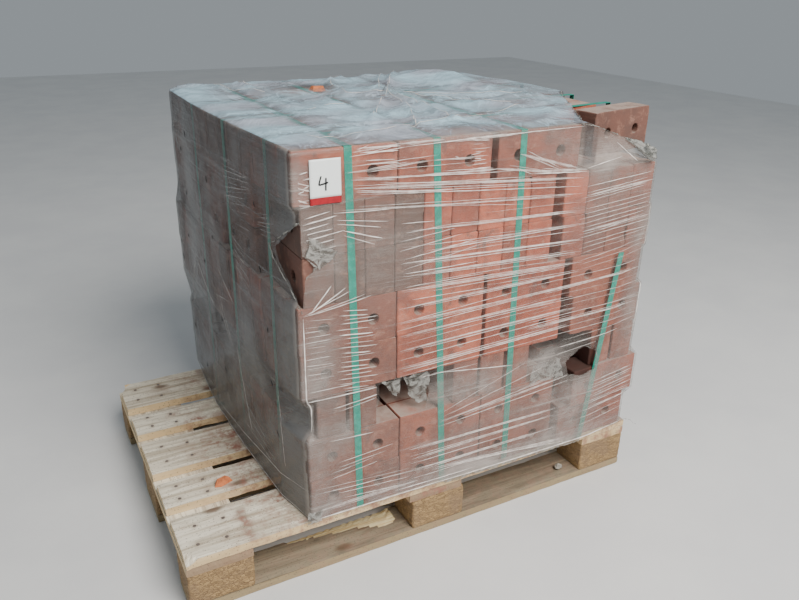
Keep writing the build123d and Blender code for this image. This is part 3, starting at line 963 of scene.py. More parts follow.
def reach_of(hull, direction):
    """Distance from the centre to the hull along a direction, the film's thickness included."""
    best = 0.0
    dx, dy = direction
    for (ax, ay), (bx, by) in zip(hull, hull[1:] + hull[:1]):
        ex, ey = bx - ax, by - ay
        cross = dx * ey - dy * ex
        if abs(cross) < 1e-9:
            continue
        rx, ry = ax - CENTRE.x, ay - CENTRE.y
        t = (rx * ey - ry * ex) / cross
        u = (rx * dy - ry * dx) / cross
        if t > 0 and -1e-6 <= u <= 1 + 1e-6:
            span = math.hypot(ex, ey)
            facing = abs(dx * ey - dy * ex) / span
            best = max(best, t + FILM_OUT / max(facing, 0.5))
    return best


def spaced(low, high, count):
    """Evenly spaced values, closer together near both ends."""
    out = []
    for i in range(count + 1):
        t = i / count
        out.append(low + (high - low) * (t - 0.035 * math.sin(2 * math.pi * t)))
    return out


def perimeter():
    """Plan points that the columns of the film's walls aim at, counter-clockwise from front left."""
    hull = HULLS[4]
    x0, x1 = min(p[0] for p in hull), max(p[0] for p in hull)
    y0, y1 = min(p[1] for p in hull), max(p[1] for p in hull)
    front_left = min(hull, key=lambda p: p[0] + p[1] * 3)[0]
    xs = spaced(front_left, x1, FRONT_CELLS)
    ys = spaced(y0, y1, SIDE_CELLS)
    walk = [(x, y0) for x in xs[:-1]]
    walk += [(x1, y) for y in ys[:-1]]
    walk += [(x, y1) for x in spaced(x0, x1, FRONT_CELLS)[:0:-1]]
    walk += [(x0 + (front_left - x0) * (1 - (y - y0) / (y1 - y0)), y) for y in ys[:0:-1]]
    return walk


WALK = perimeter()
DIRECTIONS = [Vector((x - CENTRE.x, y - CENTRE.y)).normalized() for x, y in WALK]
REACHES = [[reach_of(hull, d) for hull in HULLS] for d in DIRECTIONS]
FILM_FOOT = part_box("film_wrap")[0].z
FILM_TOP_Z = STACK_TOP + 3.0 * MM


# Tight at the front, loose behind
SLOPES = [TIGHT_SLOPE + (LOOSE_SLOPE - TIGHT_SLOPE) * clamp((y + 0.36) / 0.22) for _, y in WALK]


def film_reach(column, z):
    """How far out the film stands: on the bricks, or bridging from the course above or below."""
    out = 0.0
    for n, reach in enumerate(REACHES[column]):
        low = STACK_FOOT + n * BRICK_W
        gap = max(low - z, z - low - BRICK_W, 0.0)
        out = max(out, reach - SLOPES[column] * gap)
    return out


def wall_grid():
    """Points of the film's walls by row and column."""
    rows = []
    for row in range(WALL_ROWS + 1):
        z = FILM_FOOT + (FILM_TOP_Z - FILM_FOOT) * row / WALL_ROWS
        line = []
        for column, d in enumerate(DIRECTIONS):
            out = film_reach(column, z) + 0.9 * MM * (1 + wander(column * 0.05, z * 30, 5.0))
            if row == WALL_ROWS:
                out -= 1.5 * MM
            line.append((CENTRE.x + d.x * out, CENTRE.y + d.y * out, z))
        rows.append(line)
    return np.array(rows)


WALLS = wall_grid()
COLUMNS = len(WALK)
# Each side: the axis it runs along, its columns with that coordinate rising, and outward
SIDES = {
    "front": (0, list(range(FRONT_CELLS + 1)), Vector((0, -1, 0))),
    "right": (1, [FRONT_CELLS + j for j in range(SIDE_CELLS + 1)], Vector((1, 0, 0))),
    "back": (0, [2 * FRONT_CELLS + SIDE_CELLS - i for i in range(FRONT_CELLS + 1)], Vector((0, 1, 0))),
    "left": (1, [(COLUMNS - j) % COLUMNS for j in range(SIDE_CELLS + 1)], Vector((-1, 0, 0))),
}
CORNER = Vector((-0.325, -0.4046))


def on_wall(side, place, z):
    """Point of the film at a place along a side and a height."""
    axis, columns, _ = SIDES[side]
    row = clamp((z - FILM_FOOT) / (FILM_TOP_Z - FILM_FOOT) * WALL_ROWS, 0.0, WALL_ROWS - 1e-6)
    k = int(row)
    line = WALLS[k][columns] * (k + 1 - row) + WALLS[k + 1][columns] * (row - k)
    return Vector((float(np.interp(place, line[:, axis], line[:, 0])),
                   float(np.interp(place, line[:, axis], line[:, 1])), z))


def round_corner(s, z):
    """Point of the film by its way round from the front left corner; below 0 is on the left side."""
    if s >= 0:
        return on_wall("front", CORNER.x + s, z)
    return on_wall("left", CORNER.y - s, z)


# Where the film is milky, and where it lays painted shade in the gap by the loose brick: x, y, z, radius
# across, radius up, strength
HAZE_SPOTS = (
    (-0.33, -0.40, 0.80, 0.08, 0.07, 0.18),
    (-0.20, -0.40, 0.76, 0.16, 0.09, 0.30),
    (-0.30, -0.40, 0.55, 0.06, 0.12, 0.35),
    (-0.28, -0.40, 0.36, 0.12, 0.05, 0.35),
    (-0.31, -0.40, 0.24, 0.07, 0.14, 0.36),
    (0.10, -0.40, 0.39, 0.15, 0.05, 0.38),
    (0.45, -0.40, 0.78, 0.10, 0.10, 0.30),
    (0.56, -0.40, 0.60, 0.05, 0.30, 0.40),
    (0.40, -0.40, 0.28, 0.12, 0.10, 0.45),
    (0.20, -0.40, 0.16, 0.60, 0.035, 0.50),
    (0.42, -0.40, 0.90, 0.09, 0.05, 0.60),
    (0.30, -0.40, 0.42, 0.07, 0.03, 0.45),
    (0.05, -0.40, 0.965, 0.22, 0.012, 0.40),
    (-0.32, -0.40, 0.48, 0.06, 0.10, 0.15),
    (0.00, -0.40, 0.40, 0.05, 0.05, 0.25),
    (0.26, -0.40, 0.93, 0.07, 0.06, 0.30),
    # Painted shade: with the cool colour, a dark film in the gap by the loose brick
    (0.352, -0.40, 0.925, 0.020, 0.045, 0.30),
    (0.12, -0.40, 0.24, 0.30, 0.08, 0.24),
    (-0.335, -0.40, 0.915, 0.035, 0.05, 0.40),
)
# Where the left side is clearer: y, z, radius along, radius up, strength
CLEARER_LEFT = ((-0.22, 0.78, 0.10, 0.16, 0.26), (-0.02, 0.70, 0.08, 0.12, 0.16))


def haze_at(p):
    """Milkiness of the film's walls by place; over the left side it is thick and, with the dark cool colour,
    partly painted shade.
    """
    value = 0.10
    for x, y, z, wide, tall, strength in HAZE_SPOTS:
        value += strength * bell((p[0] - x) / wide, (p[1] - y) / wide, (p[2] - z) / tall)
    if p[1] > PAST_FRONT_Y:
        left = clamp((ON_LEFT_X - p[0]) / 0.04)
        # Over the left side the film is made thick, partly milky film and partly painted shade, thicker still
        # towards the foot
        value += left * (0.55 + 0.20 * wander(p[1] * 9, p[2] * 1.6, 3.0)) + (1 - left) * 0.22
        value += left * 0.28 * max(0.0, 1 - (p[2] - 0.14) / 0.26)
        for y, z, wide, tall, clearer in CLEARER_LEFT:
            value -= left * clearer * bell((p[1] - y) / wide, (p[2] - z) / tall)
    else:
        strap = -0.226 + 0.028 * (0.94 - p[2])
        value *= 1 - 0.8 * bell((p[0] - strap) / 0.011)
    return min(1.0, value + 0.05 * wander(p[0] * 12, p[1] * 12, p[2] * 12))


def cool_at(p):
    """1 where the film takes its cool colour: on the walls a dark grey of painted shade, over the left side and
    in the gap by the loose brick; on the top a blue tint over most of it.
    """
    if p[2] > STACK_TOP + 1 * MM:
        patch = clamp(0.62 + 1.5 * wander(p[0] * 7, p[1] * 10, 12.0))
        return patch if p[0] > 0.15 else patch * clamp((p[1] + 0.375) / 0.035)
    if p[0] < ON_LEFT_X:
        return clamp((p[1] + 0.400) / 0.02) * min(1.0, (ON_LEFT_X - p[0]) / 0.04)
    return 1.0 if 0.334 < p[0] < 0.372 and p[2] > 0.88 else 0.0


# Long folds of the film on the top, as plan points, height and half width in mm
TOP_FOLDS = (
    (((-0.275, -0.327), (-0.262, -0.362), (-0.214, -0.368), (-0.170, -0.347), (0.096, -0.277),
      (0.330, -0.190)), 4, 6),
    (((0.123, 0.111), (0.210, 0.270), (0.300, 0.415)), 9, 9),
    (((0.117, 0.150), (0.190, 0.300), (0.260, 0.420)), 6, 8),
    (((0.123, 0.111), (0.118, -0.080), (0.086, -0.273)), 8, 10),
    (((0.123, 0.111), (0.010, -0.060), (-0.076, -0.204)), 7, 9),
    (((0.110, 0.090), (0.060, -0.120), (-0.030, -0.308)), 6, 8),
    (((0.133, 0.430), (0.060, 0.340), (0.022, 0.246), (0.008, 0.120), (0.103, 0.100)), 8, 10),
    (((-0.262, 0.357), (-0.210, 0.270), (-0.167, 0.190)), 6, 10),
    (((-0.190, 0.409), (-0.180, 0.310), (-0.166, 0.225)), 7, 11),
    (((-0.214, -0.075), (-0.112, -0.040), (-0.065, -0.030)), 5, 7),
    (((0.140, 0.100), (0.250, 0.020), (0.420, -0.060)), 5, 8),
    (((0.140, 0.060), (0.230, -0.060), (0.300, -0.180)), 5, 8),
)
KNOT = (0.123, 0.111)
CHIP_AT = (-0.030, 0.228)
# Humps of loose film: height in mm, middle, half widths
TOP_HUMPS = ((21, 0.37, 0.32, 0.16, 0.11), (5, 0.10, 0.32, 0.16, 0.12), (10, 0.42, -0.12, 0.07, 0.08))


def top_runs():
    """Plan ends of the straps' runs over the top."""
    runs = []
    for name in nodes:
        if name.startswith(("strap_front", "strap_side")):
            axis = 1 if name.startswith("strap_front") else 0
            points = node_points(name)
            points = points[points[:, 2] > STACK_TOP - 1 * MM]
            low = points[points[:, axis] < points[:, axis].min() + 3 * MM].mean(axis=0)
            high = points[points[:, axis] > points[:, axis].max() - 3 * MM].mean(axis=0)
            runs.append((tuple(low[:2]), tuple(high[:2])))
    return runs


TOP_RUNS = top_runs()


def on_strap(x, y):
    """1 where the film lies on a strap of the top, falling to 0 beside it."""
    near = min(beside(x, y, a, b) for a, b in TOP_RUNS)
    return bell(near / STRAP_REACH) * clamp(0.75 + wander(x * 9, y * 9, 7.0))


def crease(x, y, seed, sharp, power):
    """Ridges of creased film: 1 along lines where the noise crosses its middle."""
    return max(0.0, 1 - abs(wander(x, y, seed)) * sharp) ** power


def crumple(x, y):
    """Height of the loose film over the top of the stack, in metres."""
    wx = x + 0.06 * wander(x * 4, y * 4, 1.0)
    wy = y + 0.06 * wander(x * 4, y * 4, 2.0)
    busy = clamp(0.45 + 1.3 * wander(x * 3.3, y * 3.3, 9.0), 0.1)
    height = crease(wx * 5, wy * 8, 3.0, 2.2, 1.5) * 8.0 * MM
    height += crease(wx * 12, wy * 21, 5.0, 2.6, 2) * 4.0 * MM * busy
    height += crease(wx * 30, wy * 50, 4.0, 2.6, 2) * 1.6 * MM * busy
    for path, tall, wide in TOP_FOLDS:
        near = min(beside(x, y, a, b) for a, b in zip(path, path[1:]))
        height += tall * MM * bell(near / (wide * MM))
    away = math.hypot(x - KNOT[0], y - KNOT[1])
    turn = math.atan2(y - KNOT[1], x - KNOT[0])
    rays = 0.5 + 0.5 * math.cos(11 * turn + 4 * wander(x * 6, y * 6))
    height += 8 * MM * max(0.0, 1 - away / 0.17) * rays
    height *= 1 - 0.85 * on_strap(x, y)
    for tall, mid_x, mid_y, wide, deep in TOP_HUMPS:
        height += tall * MM * bell((x - mid_x) / wide, (y - mid_y) / deep)
    taut = clamp((x - 0.43) / 0.09)
    return height * (1 - 0.75 * taut)


def top_haze(x, y):
    """Milkiness of the film on the top; clearer on the straps, the loose chip and the knot."""
    value = 0.80 + 0.3 * wander(x * 7, y * 7, 6.0) - 0.42 * on_strap(x, y)
    for (mid_x, mid_y), radius, clearer in ((CHIP_AT, 0.055, 0.75), (KNOT, 0.014, 0.60)):
        value -= clearer * bell((x - mid_x) / radius, (y - mid_y) / radius)
    if x < 0.33:
        value -= 0.25 * max(0.0, 1 - (y + 0.40) / 0.05)
    return clamp(value)


def film_mesh():
    """Hull of film round the stack and over its top, one skin."""
    verts = [Vector(p) for line in WALLS for p in line]
    haze = [haze_at(p) for p in verts]
    faces = grid_faces(WALL_ROWS + 1, COLUMNS, closed=True)
    rim = WALL_ROWS * COLUMNS
    n, m = FRONT_CELLS, SIDE_CELLS
    front, right, back, left = ([rim + c for c in columns] for _, columns, _ in SIDES.values())
    grid = [[None] * (m + 1) for _ in range(n + 1)]
    for i in range(n + 1):
        grid[i][0], grid[i][m] = front[i], back[i]
    for j in range(m + 1):
        grid[0][j], grid[n][j] = left[j], right[j]
    front, back, left, right = ([Vector(verts[k]) for k in row] for row in (front, back, left, right))
    for i in range(1, n):
        for j in range(1, m):
            u, v = i / n, j / m
            p = (front[i] * (1 - v) + back[i] * v) + (left[j] * (1 - u) + right[j] * u)
            p -= (front[0] * (1 - u) * (1 - v) + front[n] * u * (1 - v) + back[0] * (1 - u) * v
                  + back[n] * u * v)
            # The crumples fade out over the cells next to the rim
            edge = min(i / 5, (n - i) / 5, max(0, j - 3) / 8, (m - j) / 5)
            p.z = FILM_TOP_Z + crumple(p.x, p.y) * min(1.0, edge)
            grid[i][j] = len(verts)
            verts.append(p)
            haze.append(top_haze(p.x, p.y))
    for near, far in zip(grid, grid[1:]):
        for j in range(m):
            faces.append([near[j], far[j], far[j + 1], near[j + 1]])
    return np.array([tuple(v) for v in verts]), faces, haze


def tunnel_boxes():
    """The fork tunnels as (low x, high x): the gaps of over 100 mm between the piers."""
    spans = sorted((part[:, 0].min(), part[:, 0].max()) for part in loose_parts(nodes["brick_course_3"]))
    gaps = []
    end = spans[0][1]
    for low, high in spans:
        if low - end > 100 * MM:
            gaps.append((end, low))
        end = max(end, high)
    return gaps


TUNNELS = tunnel_boxes()
TUNNEL_LOW = STACK_FOOT + 2 * BRICK_W
TUNNEL_HIGH = STACK_FOOT + 3 * BRICK_W
# The tears behind: as far within the tunnels' sides and foot, and below their top
BACK_INSET = 12 * MM
BACK_SILL = 20 * MM
BACK_HEAD = 4 * MM

# Tears in the walls, as way round from the front left corner and height
CORNER_TEAR = ((0.000, 0.835), (-0.072, 0.786), (-0.108, 0.763), (-0.094, 0.738), (-0.040, 0.690),
               (0.000, 0.652), (0.008, 0.722), (0.030, 0.742), (0.003, 0.770))
# Tears over the fork tunnels, as x and height
LEFT_FORK_TEAR = ((-0.160, 0.452), (-0.162, 0.372), (-0.148, 0.353), (-0.070, 0.357), (-0.046, 0.364),
                  (-0.038, 0.400), (-0.046, 0.440), (-0.080, 0.450))
RIGHT_FORK_TEAR = ((0.346, 0.388), (0.360, 0.352), (0.400, 0.340), (0.444, 0.350), (0.441, 0.402),
                   (0.400, 0.424))
# The film has slipped off the top corner by the loose brick: its edge down the front, the right and the top
SLIPPED_FRONT = ((0.317, 0.980), (0.365, 0.960), (0.471, 0.921), (0.502, 0.896), (0.560, 0.872),
                 (0.620, 0.864))
SLIPPED_RIGHT = ((-0.402, 0.862), (-0.100, 0.866), (-0.047, 0.900), (0.000, 0.985))
SLIPPED_TOP = ((0.328, -0.402), (0.557, -0.047))


def outside(u, z, polygon):
    """Distance to a polygon, below zero within it."""
    best, inside = 1e9, False
    for (ax, az), (bx, bz) in zip(polygon, polygon[1:] + polygon[:1]):
        best = min(best, beside(u, z, (ax, az), (bx, bz)))
        if (az > z) != (bz > z) and u < ax + (z - az) / (bz - az) * (bx - ax):
            inside = not inside
    return -best if inside else best


def open_at(p):
    """Below zero where the film is torn away; each tear counts only on its own side."""
    x, y, z = p
    ragged = 4 * MM * wander(x * 45, z * 45, y * 45)
    value = 1.0
    if y < -0.38:
        for tear in (LEFT_FORK_TEAR, RIGHT_FORK_TEAR):
            value = min(value, outside(x, z, tear) + ragged)
    if x < -0.2 and y < -0.2:
        value = min(value, outside((x - CORNER.x) - (y - CORNER.y), z, CORNER_TEAR) + ragged * 0.5)
    if y > 0.42:
        for low, high in TUNNELS:
            dx = max(low + BACK_INSET - x, x - high + BACK_INSET)
            dz = max(TUNNEL_LOW + BACK_SILL - z, z - TUNNEL_HIGH + BACK_HEAD)
            value = min(value, max(dx, dz) + ragged * 2)
    if x > 0.30 and y < 0.02 and z > 0.84:
        (ax, ay), (bx, by) = SLIPPED_TOP
        past = ((by - ay) * (ax - x) + (bx - ax) * (y - ay)) / math.hypot(bx - ax, by - ay)
        edge = 0.86
        if y < -0.385:
            edge = np.interp(x, *zip(*SLIPPED_FRONT))
        elif x > 0.55:
            edge = np.interp(y, *zip(*SLIPPED_RIGHT))
        value = min(value, max(past, edge - z) + ragged * 0.4)
    return value


def make_film():
    """The film without what is torn away; points next to a tear move to its edge."""
    verts, faces, haze = film_mesh()
    field = np.array([open_at(v) for v in verts])
    moved = verts.copy()
    fixed = set()
    for face in faces:
        for a, b in zip(face, face[1:] + face[:1]):
            if (field[a] < 0) == (field[b] < 0):
                continue
            lost, kept = (a, b) if field[a] < 0 else (b, a)
            if lost not in fixed:
                t = field[kept] / (field[kept] - field[lost])
                moved[lost] = verts[kept] + (verts[lost] - verts[kept]) * t
                fixed.add(lost)
    faces = [f for f in faces
             if all(field[i] >= 0 or i in fixed for i in f) and any(field[i] >= 0 for i in f)]
    used = sorted({i for f in faces for i in f})
    renumber = {old: new for new, old in enumerate(used)}
    faces = [[renumber[i] for i in f] for f in faces]
    obj = mesh_object("film", moved[used], faces, FILM, True,
                      {"haze": [haze[i] for i in used], "cool": [cool_at(moved[i]) for i in used]})
    obj.data.materials.append(FILM_TOP)
    for poly in obj.data.polygons:
        if poly.normal.z > UPWARD and poly.center.z > STACK_TOP:
            poly.material_index = 1
    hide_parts("film_wrap")
    return obj


# Narrow folds in millimetres: side, first and last line as place and height of both ends, lines, width
FANS = (
    ("front", (-221, 927, -44, 929), (-203, 871, 348, 826), 6, 1.5),
    ("front", (-116, 902, 225, 885), (-115, 836, 203, 807), 3, 1.2),
    ("front", (-91, 785, 350, 773), (-112, 718, 367, 700), 3, 1.5),
    ("front", (-250, 843, -129, 834), (-242, 796, -161, 766), 5, 2.2),
    ("front", (-110, 802, -26, 799), (-108, 706, 81, 732), 6, 1.5),
    ("front", (-107, 695, 83, 694), (-90, 634, 88, 629), 3, 1.4),
    ("front", (-317, 647, -264, 697), (-316, 644, -166, 664), 5, 2.4),
    ("front", (-249, 642, -174, 635), (-249, 455, -174, 447), 19, 1.8),
    ("front", (-323, 633, -272, 629), (-323, 502, -272, 498), 12, 1.1),
    ("front", (-320, 842, -262, 853), (-318, 775, -240, 782), 7, 2.4),
    ("front", (-320, 925, -306, 927), (-320, 862, -300, 866), 6, 2.0),
    ("front", (-113, 588, 193, 605), (-112, 500, 357, 521), 6, 1.5),
    ("front", (-111, 470, 335, 487), (-115, 448, 101, 449), 3, 1.6),
    ("front", (-43, 730, 157, 729), (-39, 647, 314, 641), 5, 1.2),
    ("front", (-259, 420, -162, 434), (-251, 410, -179, 424), 2, 1.8),
    ("front", (-253, 285, -133, 296), (-279, 245, -173, 256), 4, 1.5),
    ("front", (-319, 229, -72, 214), (-241, 189, -89, 177), 4, 1.5),
    ("front", (-4, 339, 211, 416), (-7, 304, 369, 333), 4, 1.4),
    ("front", (-82, 264, 326, 263), (-71, 184, 91, 184), 5, 1.4),
    ("front", (85, 800, 345, 790), (85, 640, 345, 632), 8, 0.9),
    ("front", (215, 612, 560, 622), (215, 470, 560, 478), 9, 1.0),
    ("front", (352, 824, 548, 842), (352, 630, 572, 652), 17, 1.2),
    ("front", (438, 315, 582, 327), (400, 190, 580, 200), 7, 1.2),
    ("front", (-209, 962, -123, 958), (-190, 928, -124, 927), 4, 2.2),
    ("front", (43, 955, 76, 955), (47, 897, 80, 898), 9, 1.6),
    ("front", (-331, 912, -307, 901), (-331, 867, -300, 862), 5, 2.0),
    ("front", (330, 455, 560, 470), (300, 415, 440, 425), 3, 1.3),
    ("front", (440, 300, 590, 312), (440, 235, 590, 240), 5, 1.6),
    ("left", (-38, 884, -211, 881), (-31, 807, -214, 846), 7, 1.6),
    ("left", (-45, 800, -191, 822), (-111, 742, -187, 749), 6, 1.3),
    ("left", (-69, 720, -145, 700), (-96, 640, -170, 610), 7, 1.2),
    ("left", (-236, 812, -310, 826), (-242, 770, -305, 778), 6, 1.8),
    ("left", (409, 887, 291, 910), (409, 845, 305, 872), 4, 1.4),
    ("left", (190, 720, 130, 716), (200, 640, 140, 628), 5, 1.1),
    ("left", (120, 560, 20, 430), (60, 520, -30, 420), 4, 1.2),
    ("left", (-60, 300, -230, 250), (-80, 230, -280, 205), 3, 1.1),
    ("right", (-390, 830, 300, 846), (-390, 190, 440, 180), 26, 1.2),
    ("back", (-310, 900, 540, 880), (-310, 180, 560, 196), 26, 1.2),
)
# Bands of doubled film across the front, drawn whitish as partly painted sheen: place and height of both ends,
# width
BANDS = (
    ((-218, 955, -118, 962), 8), ((-118, 962, -20, 962), 8), ((-30, 958, 178, 960), 6),
    ((-228, 917, -46, 924), 7), ((-46, 924, 84, 922), 6), ((-221, 903, -76, 897), 8),
    ((-80, 897, 115, 891), 9), ((105, 892, 250, 872), 9), ((165, 917, 325, 872), 12),
    ((-209, 879, -1, 861), 8), ((-215, 886, 345, 848), 13), ((-240, 847, 345, 812), 9),
    ((-91, 786, 356, 773), 7), ((-55, 738, 361, 739), 7), ((-112, 718, 367, 700), 10),
    ((-107, 690, 367, 672), 7), ((-110, 660, 360, 650), 9), ((-115, 620, 350, 628), 8),
    ((-113, 586, 349, 594), 7), ((-112, 556, 345, 566), 9), ((-112, 521, 357, 535), 8),
    ((-111, 478, 335, 494), 9), ((-4, 318, 369, 352), 8), ((-82, 263, 330, 262), 9),
    ((-76, 236, 333, 244), 6), ((-70, 202, 333, 206), 9), ((-22, 190, 380, 162), 10),
    ((-320, 170, -60, 172), 12), ((200, 876, 352, 866), 12), ((360, 805, 560, 822), 9),
    ((360, 720, 565, 736), 9), ((220, 590, 565, 604), 8), ((220, 505, 560, 512), 8),
)
# Single rolled folds: side, place and height of both ends, width
ROLLS = (
    ("front", (-332, 449, -165, 448), 4.0),
    ("front", (-319, 472, -216, 470), 2.4),
    ("front", (-276, 343, -173, 338), 2.8),
    ("front", (-32, 449, 185, 419), 3.0),
    ("front", (-119, 162, 92, 160), 3.6),
    ("front", (-22, 195, 370, 154), 2.4),
    ("front", (354, 869, 453, 886), 3.0),
    ("front", (430, 920, 505, 868), 2.6),
    ("front", (200, 872, 352, 862), 3.0),
    ("front", (-328, 640, -331, 370), 4.2),
    ("front", (574, 840, 572, 420), 3.4),
    ("front", (-318, 150, 0, 149), 5.0),
    ("front", (-20, 149, 574, 150), 5.0),
    ("left", (-398, 151, 440, 150), 4.0),
    ("left", (165, 167, -396, 222), 2.6),
    ("left", (-54, 431, -125, 217), 1.6),
    ("left", (-297, 424, -312, 241), 1.6),
    ("left", (258, 556, 408, 356), 2.0),
    ("left", (258, 556, 103, 472), 2.0),
    ("left", (45, 595, -56, 540), 2.4),
    ("left", (123, 505, -56, 540), 2.0),
    ("front", (-224, 947, -110, 955), 2.4),
    ("front", (-118, 955, 330, 962), 2.2),
)


def along_path(path, step):
    """Points at an even step along a path of points."""
    out = []
    for a, b in zip(path, path[1:]):
        parts = max(1, round((b - a).length / step))
        out += [a + (b - a) * (k / parts) for k in range(parts)]
    return out + [path[-1]]


def heading(points, i):
    """Direction of a path at one of its points."""
    return (points[min(i + 1, len(points) - 1)] - points[max(i - 1, 0)]).normalized()


def fold_strip(side, ends, width, seed, verts, faces, lift=1.1):
    """One raised fold on the film, tapering to both ends; it stops at the tears."""
    x0, z0, x1, z1 = (v * MM for v in ends)
    span = math.hypot(x1 - x0, z1 - z0)
    parts = max(4, round(span / FOLD_STEP))
    axis, _, out = SIDES[side]
    along = Vector((x1 - x0, 0, z1 - z0)) if axis == 0 else Vector((0, x1 - x0, z1 - z0))
    up = out.cross(along).normalized()
    bow = 0.012 * span * wander(seed, 3.3)
    start = len(verts)
    for i in range(parts + 1):
        t = i / parts
        place = x0 + (x1 - x0) * t
        z = z0 + (z1 - z0) * t + bow * math.sin(math.pi * t) + 0.7 * MM * wander(t * span * 40, seed)
        p = on_wall(side, place, z)
        if open_at(p) < 2 * MM:
            faces += grid_faces((len(verts) - start) // 3, 3, start)
            start = len(verts)
            continue
        taper = min(1.0, 0.15 + 1.6 * math.sin(math.pi * t))
        half = width * MM / 2 * taper * (0.75 + 0.4 * wander(t * span * 60, seed, 2.0))
        edge = out * 0.2 * MM
        verts += [p + up * half + edge, p + out * (0.4 * MM + half * lift), p - up * half + edge]
    faces += grid_faces((len(verts) - start) // 3, 3, start)


def make_folds():
    """All the narrow folds and the wide doubled bands in one mesh, drawn whitish as partly painted highlight.
    """
    r = random.Random(5)
    verts, faces, strength = [], [], []
    for side, first, final, count, width in FANS:
        for k in range(count):
            t = k / max(1, count - 1)
            ends = [a + (b - a) * t for a, b in zip(first, final)]
            ends[0] += r.uniform(-8, 8)
            ends[2] += r.uniform(-14, 14)
            lift = r.uniform(-2.5, 2.5)
            ends[1] += lift
            ends[3] += lift + r.uniform(-3, 3)
            fold_strip(side, ends, width * r.uniform(0.9, 2.3), r.random() * 60, verts, faces)
            # Folds on the shaded left side are drawn fainter: less painted highlight in shade
            dull = 0.5 if side == "left" else 1.0
            strength += [dull * r.uniform(0.65, 1.25)] * (len(verts) - len(strength))
    for side, ends, width in ROLLS:
        fold_strip(side, ends, width * 1.3, r.random() * 60, verts, faces)
        # Rolls on the left side are fainter too, with less painted highlight in shade
        strength += [0.6 if side == "left" else 1.0] * (len(verts) - len(strength))
    for ends, width in BANDS:
        fold_strip("front", ends, width, r.random() * 60, verts, faces, 0.25)
        strength += [r.uniform(0.34, 0.56)] * (len(verts) - len(strength))
        for shift in (-width * 0.42, width * 0.40):
            x0, z0, x1, z1 = ends
            inset = r.uniform(0, 60)
            line = (x0 + inset, z0 + shift, x1 - r.uniform(0, 80), z1 + shift * r.uniform(0.5, 1.0))
            fold_strip("front", line, 2.2, r.random() * 60, verts, faces)
            strength += [r.uniform(0.6, 1.0)] * (len(verts) - len(strength))
    for path, _, _ in TOP_FOLDS:
        points = along_path([Vector((x, y, 0)) for x, y in path], 8 * MM)
        for start in range(0, len(points) - 4, 3):
            if r.random() < 0.45:
                continue
            stretch = points[start:start + r.randint(4, 14)]
            base = len(verts)
            for i, q in enumerate(stretch):
                d = heading(stretch, i)
                half = 1.3 * MM * math.sin(math.pi * (i + 0.5) / len(stretch)) + 0.2 * MM
                for offset, lift in ((-half, 0.4), (0, 1.4), (half, 0.4)):
                    x, y = q.x - d.y * offset, q.y + d.x * offset
                    verts.append(Vector((x, y, FILM_TOP_Z + crumple(x, y) + lift * MM)))
            faces += grid_faces(len(stretch), 3, base, flip=True)
            strength += [r.uniform(0.4, 0.8)] * (len(verts) - len(strength))
    crest = [1.0 if i % 3 == 1 else 0.0 for i in range(len(verts))]
    looks = {"crest": crest, "strength": strength}
    return mesh_object("film_folds_and_highlights", verts, faces, PLEAT_AND_HIGHLIGHT, True, looks)


def torn_lip(path, outward, middle, size, seed, verts, faces):
    """A ragged curled hem along the edge of a tear; middle lies in the opening."""
    points = along_path(path, HEM_STEP)
    base = len(verts)
    for i, p in enumerate(points):
        away = outward.cross(heading(points, i)).normalized()
        if away.dot(p - middle) < 0:
            away = -away
        radius = size * max(0.12, 0.45 + 1.5 * wander(i * 0.17, seed) + 0.6 * wander(i * 0.9, seed, 4.0))
        jog = 2.5 * MM * wander(i * 0.6, seed, 8.0)
        for k in range(6):
            turn = math.radians(-70 + 62 * k)
            rise = radius * (1 - math.cos(turn)) + 0.5 * MM
            verts.append(p + away * (jog + radius * math.sin(turn)) + outward * rise)
    faces += grid_faces(len(points), 6, base)


def make_lips():
    """The curled hems of all the tears in one mesh."""
    front_out, right_out, back_out, _ = (outward for _, _, outward in SIDES.values())
    mouth = [on_wall("front", x, z) for x, z in RIGHT_FORK_TEAR[1:]]
    # Each hem: its path, outward, a place in the opening, size in mm, seed
    lips = [([round_corner(s, z) for s, z in CORNER_TEAR[:6]], Vector((-0.9, -0.45, 0)).normalized(),
             round_corner(-0.05, 0.745), 2.2, 1.0),
            ([round_corner(s, z) for s, z in CORNER_TEAR[6:]], front_out, round_corner(0.008, 0.745), 2.0, 2.0),
            (mouth, front_out, sum(mouth, Vector()) / len(mouth), 1.3, 4.0)]
    foot, head = TUNNEL_LOW + BACK_SILL, TUNNEL_HIGH - BACK_HEAD
    for low, high in TUNNELS:
        x0, x1 = low + BACK_INSET, high - BACK_INSET
        corners = ((x0, foot), (x1, foot), (x1, head), (x0, head), (x0, foot))
        ring = [on_wall("back", x, z) for x, z in corners]
        lips.append((ring, back_out, (ring[0] + ring[2]) / 2, 2.6, 5.0 + low))
    (ax, ay), (bx, by) = SLIPPED_TOP
    shares = [k / 12 for k in range(13)]
    top = [Vector((ax + (bx - ax) * t, ay + (by - ay) * t, FILM_TOP_Z + 2 * MM)) for t in shares]
    lips += [([on_wall("front", x, min(z, FILM_TOP_Z)) for x, z in SLIPPED_FRONT[:5]], front_out,
              Vector((0.5, -0.41, 0.96)), 1.6, 7.0),
             ([on_wall("right", y, min(z, FILM_TOP_Z)) for y, z in SLIPPED_RIGHT], right_out,
              Vector((0.58, -0.3, 0.96)), 2.4, 8.0),
             (top, Vector((0, 0, 1)), Vector((0.55, -0.35, FILM_TOP_Z)), 2.0, 9.0)]
    verts, faces = [], []
    for path, outward, middle, size, seed in lips:
        torn_lip(path, outward, middle, size * MM, seed, verts, faces)
    return mesh_object("film_torn_edges", verts, faces, RAG)


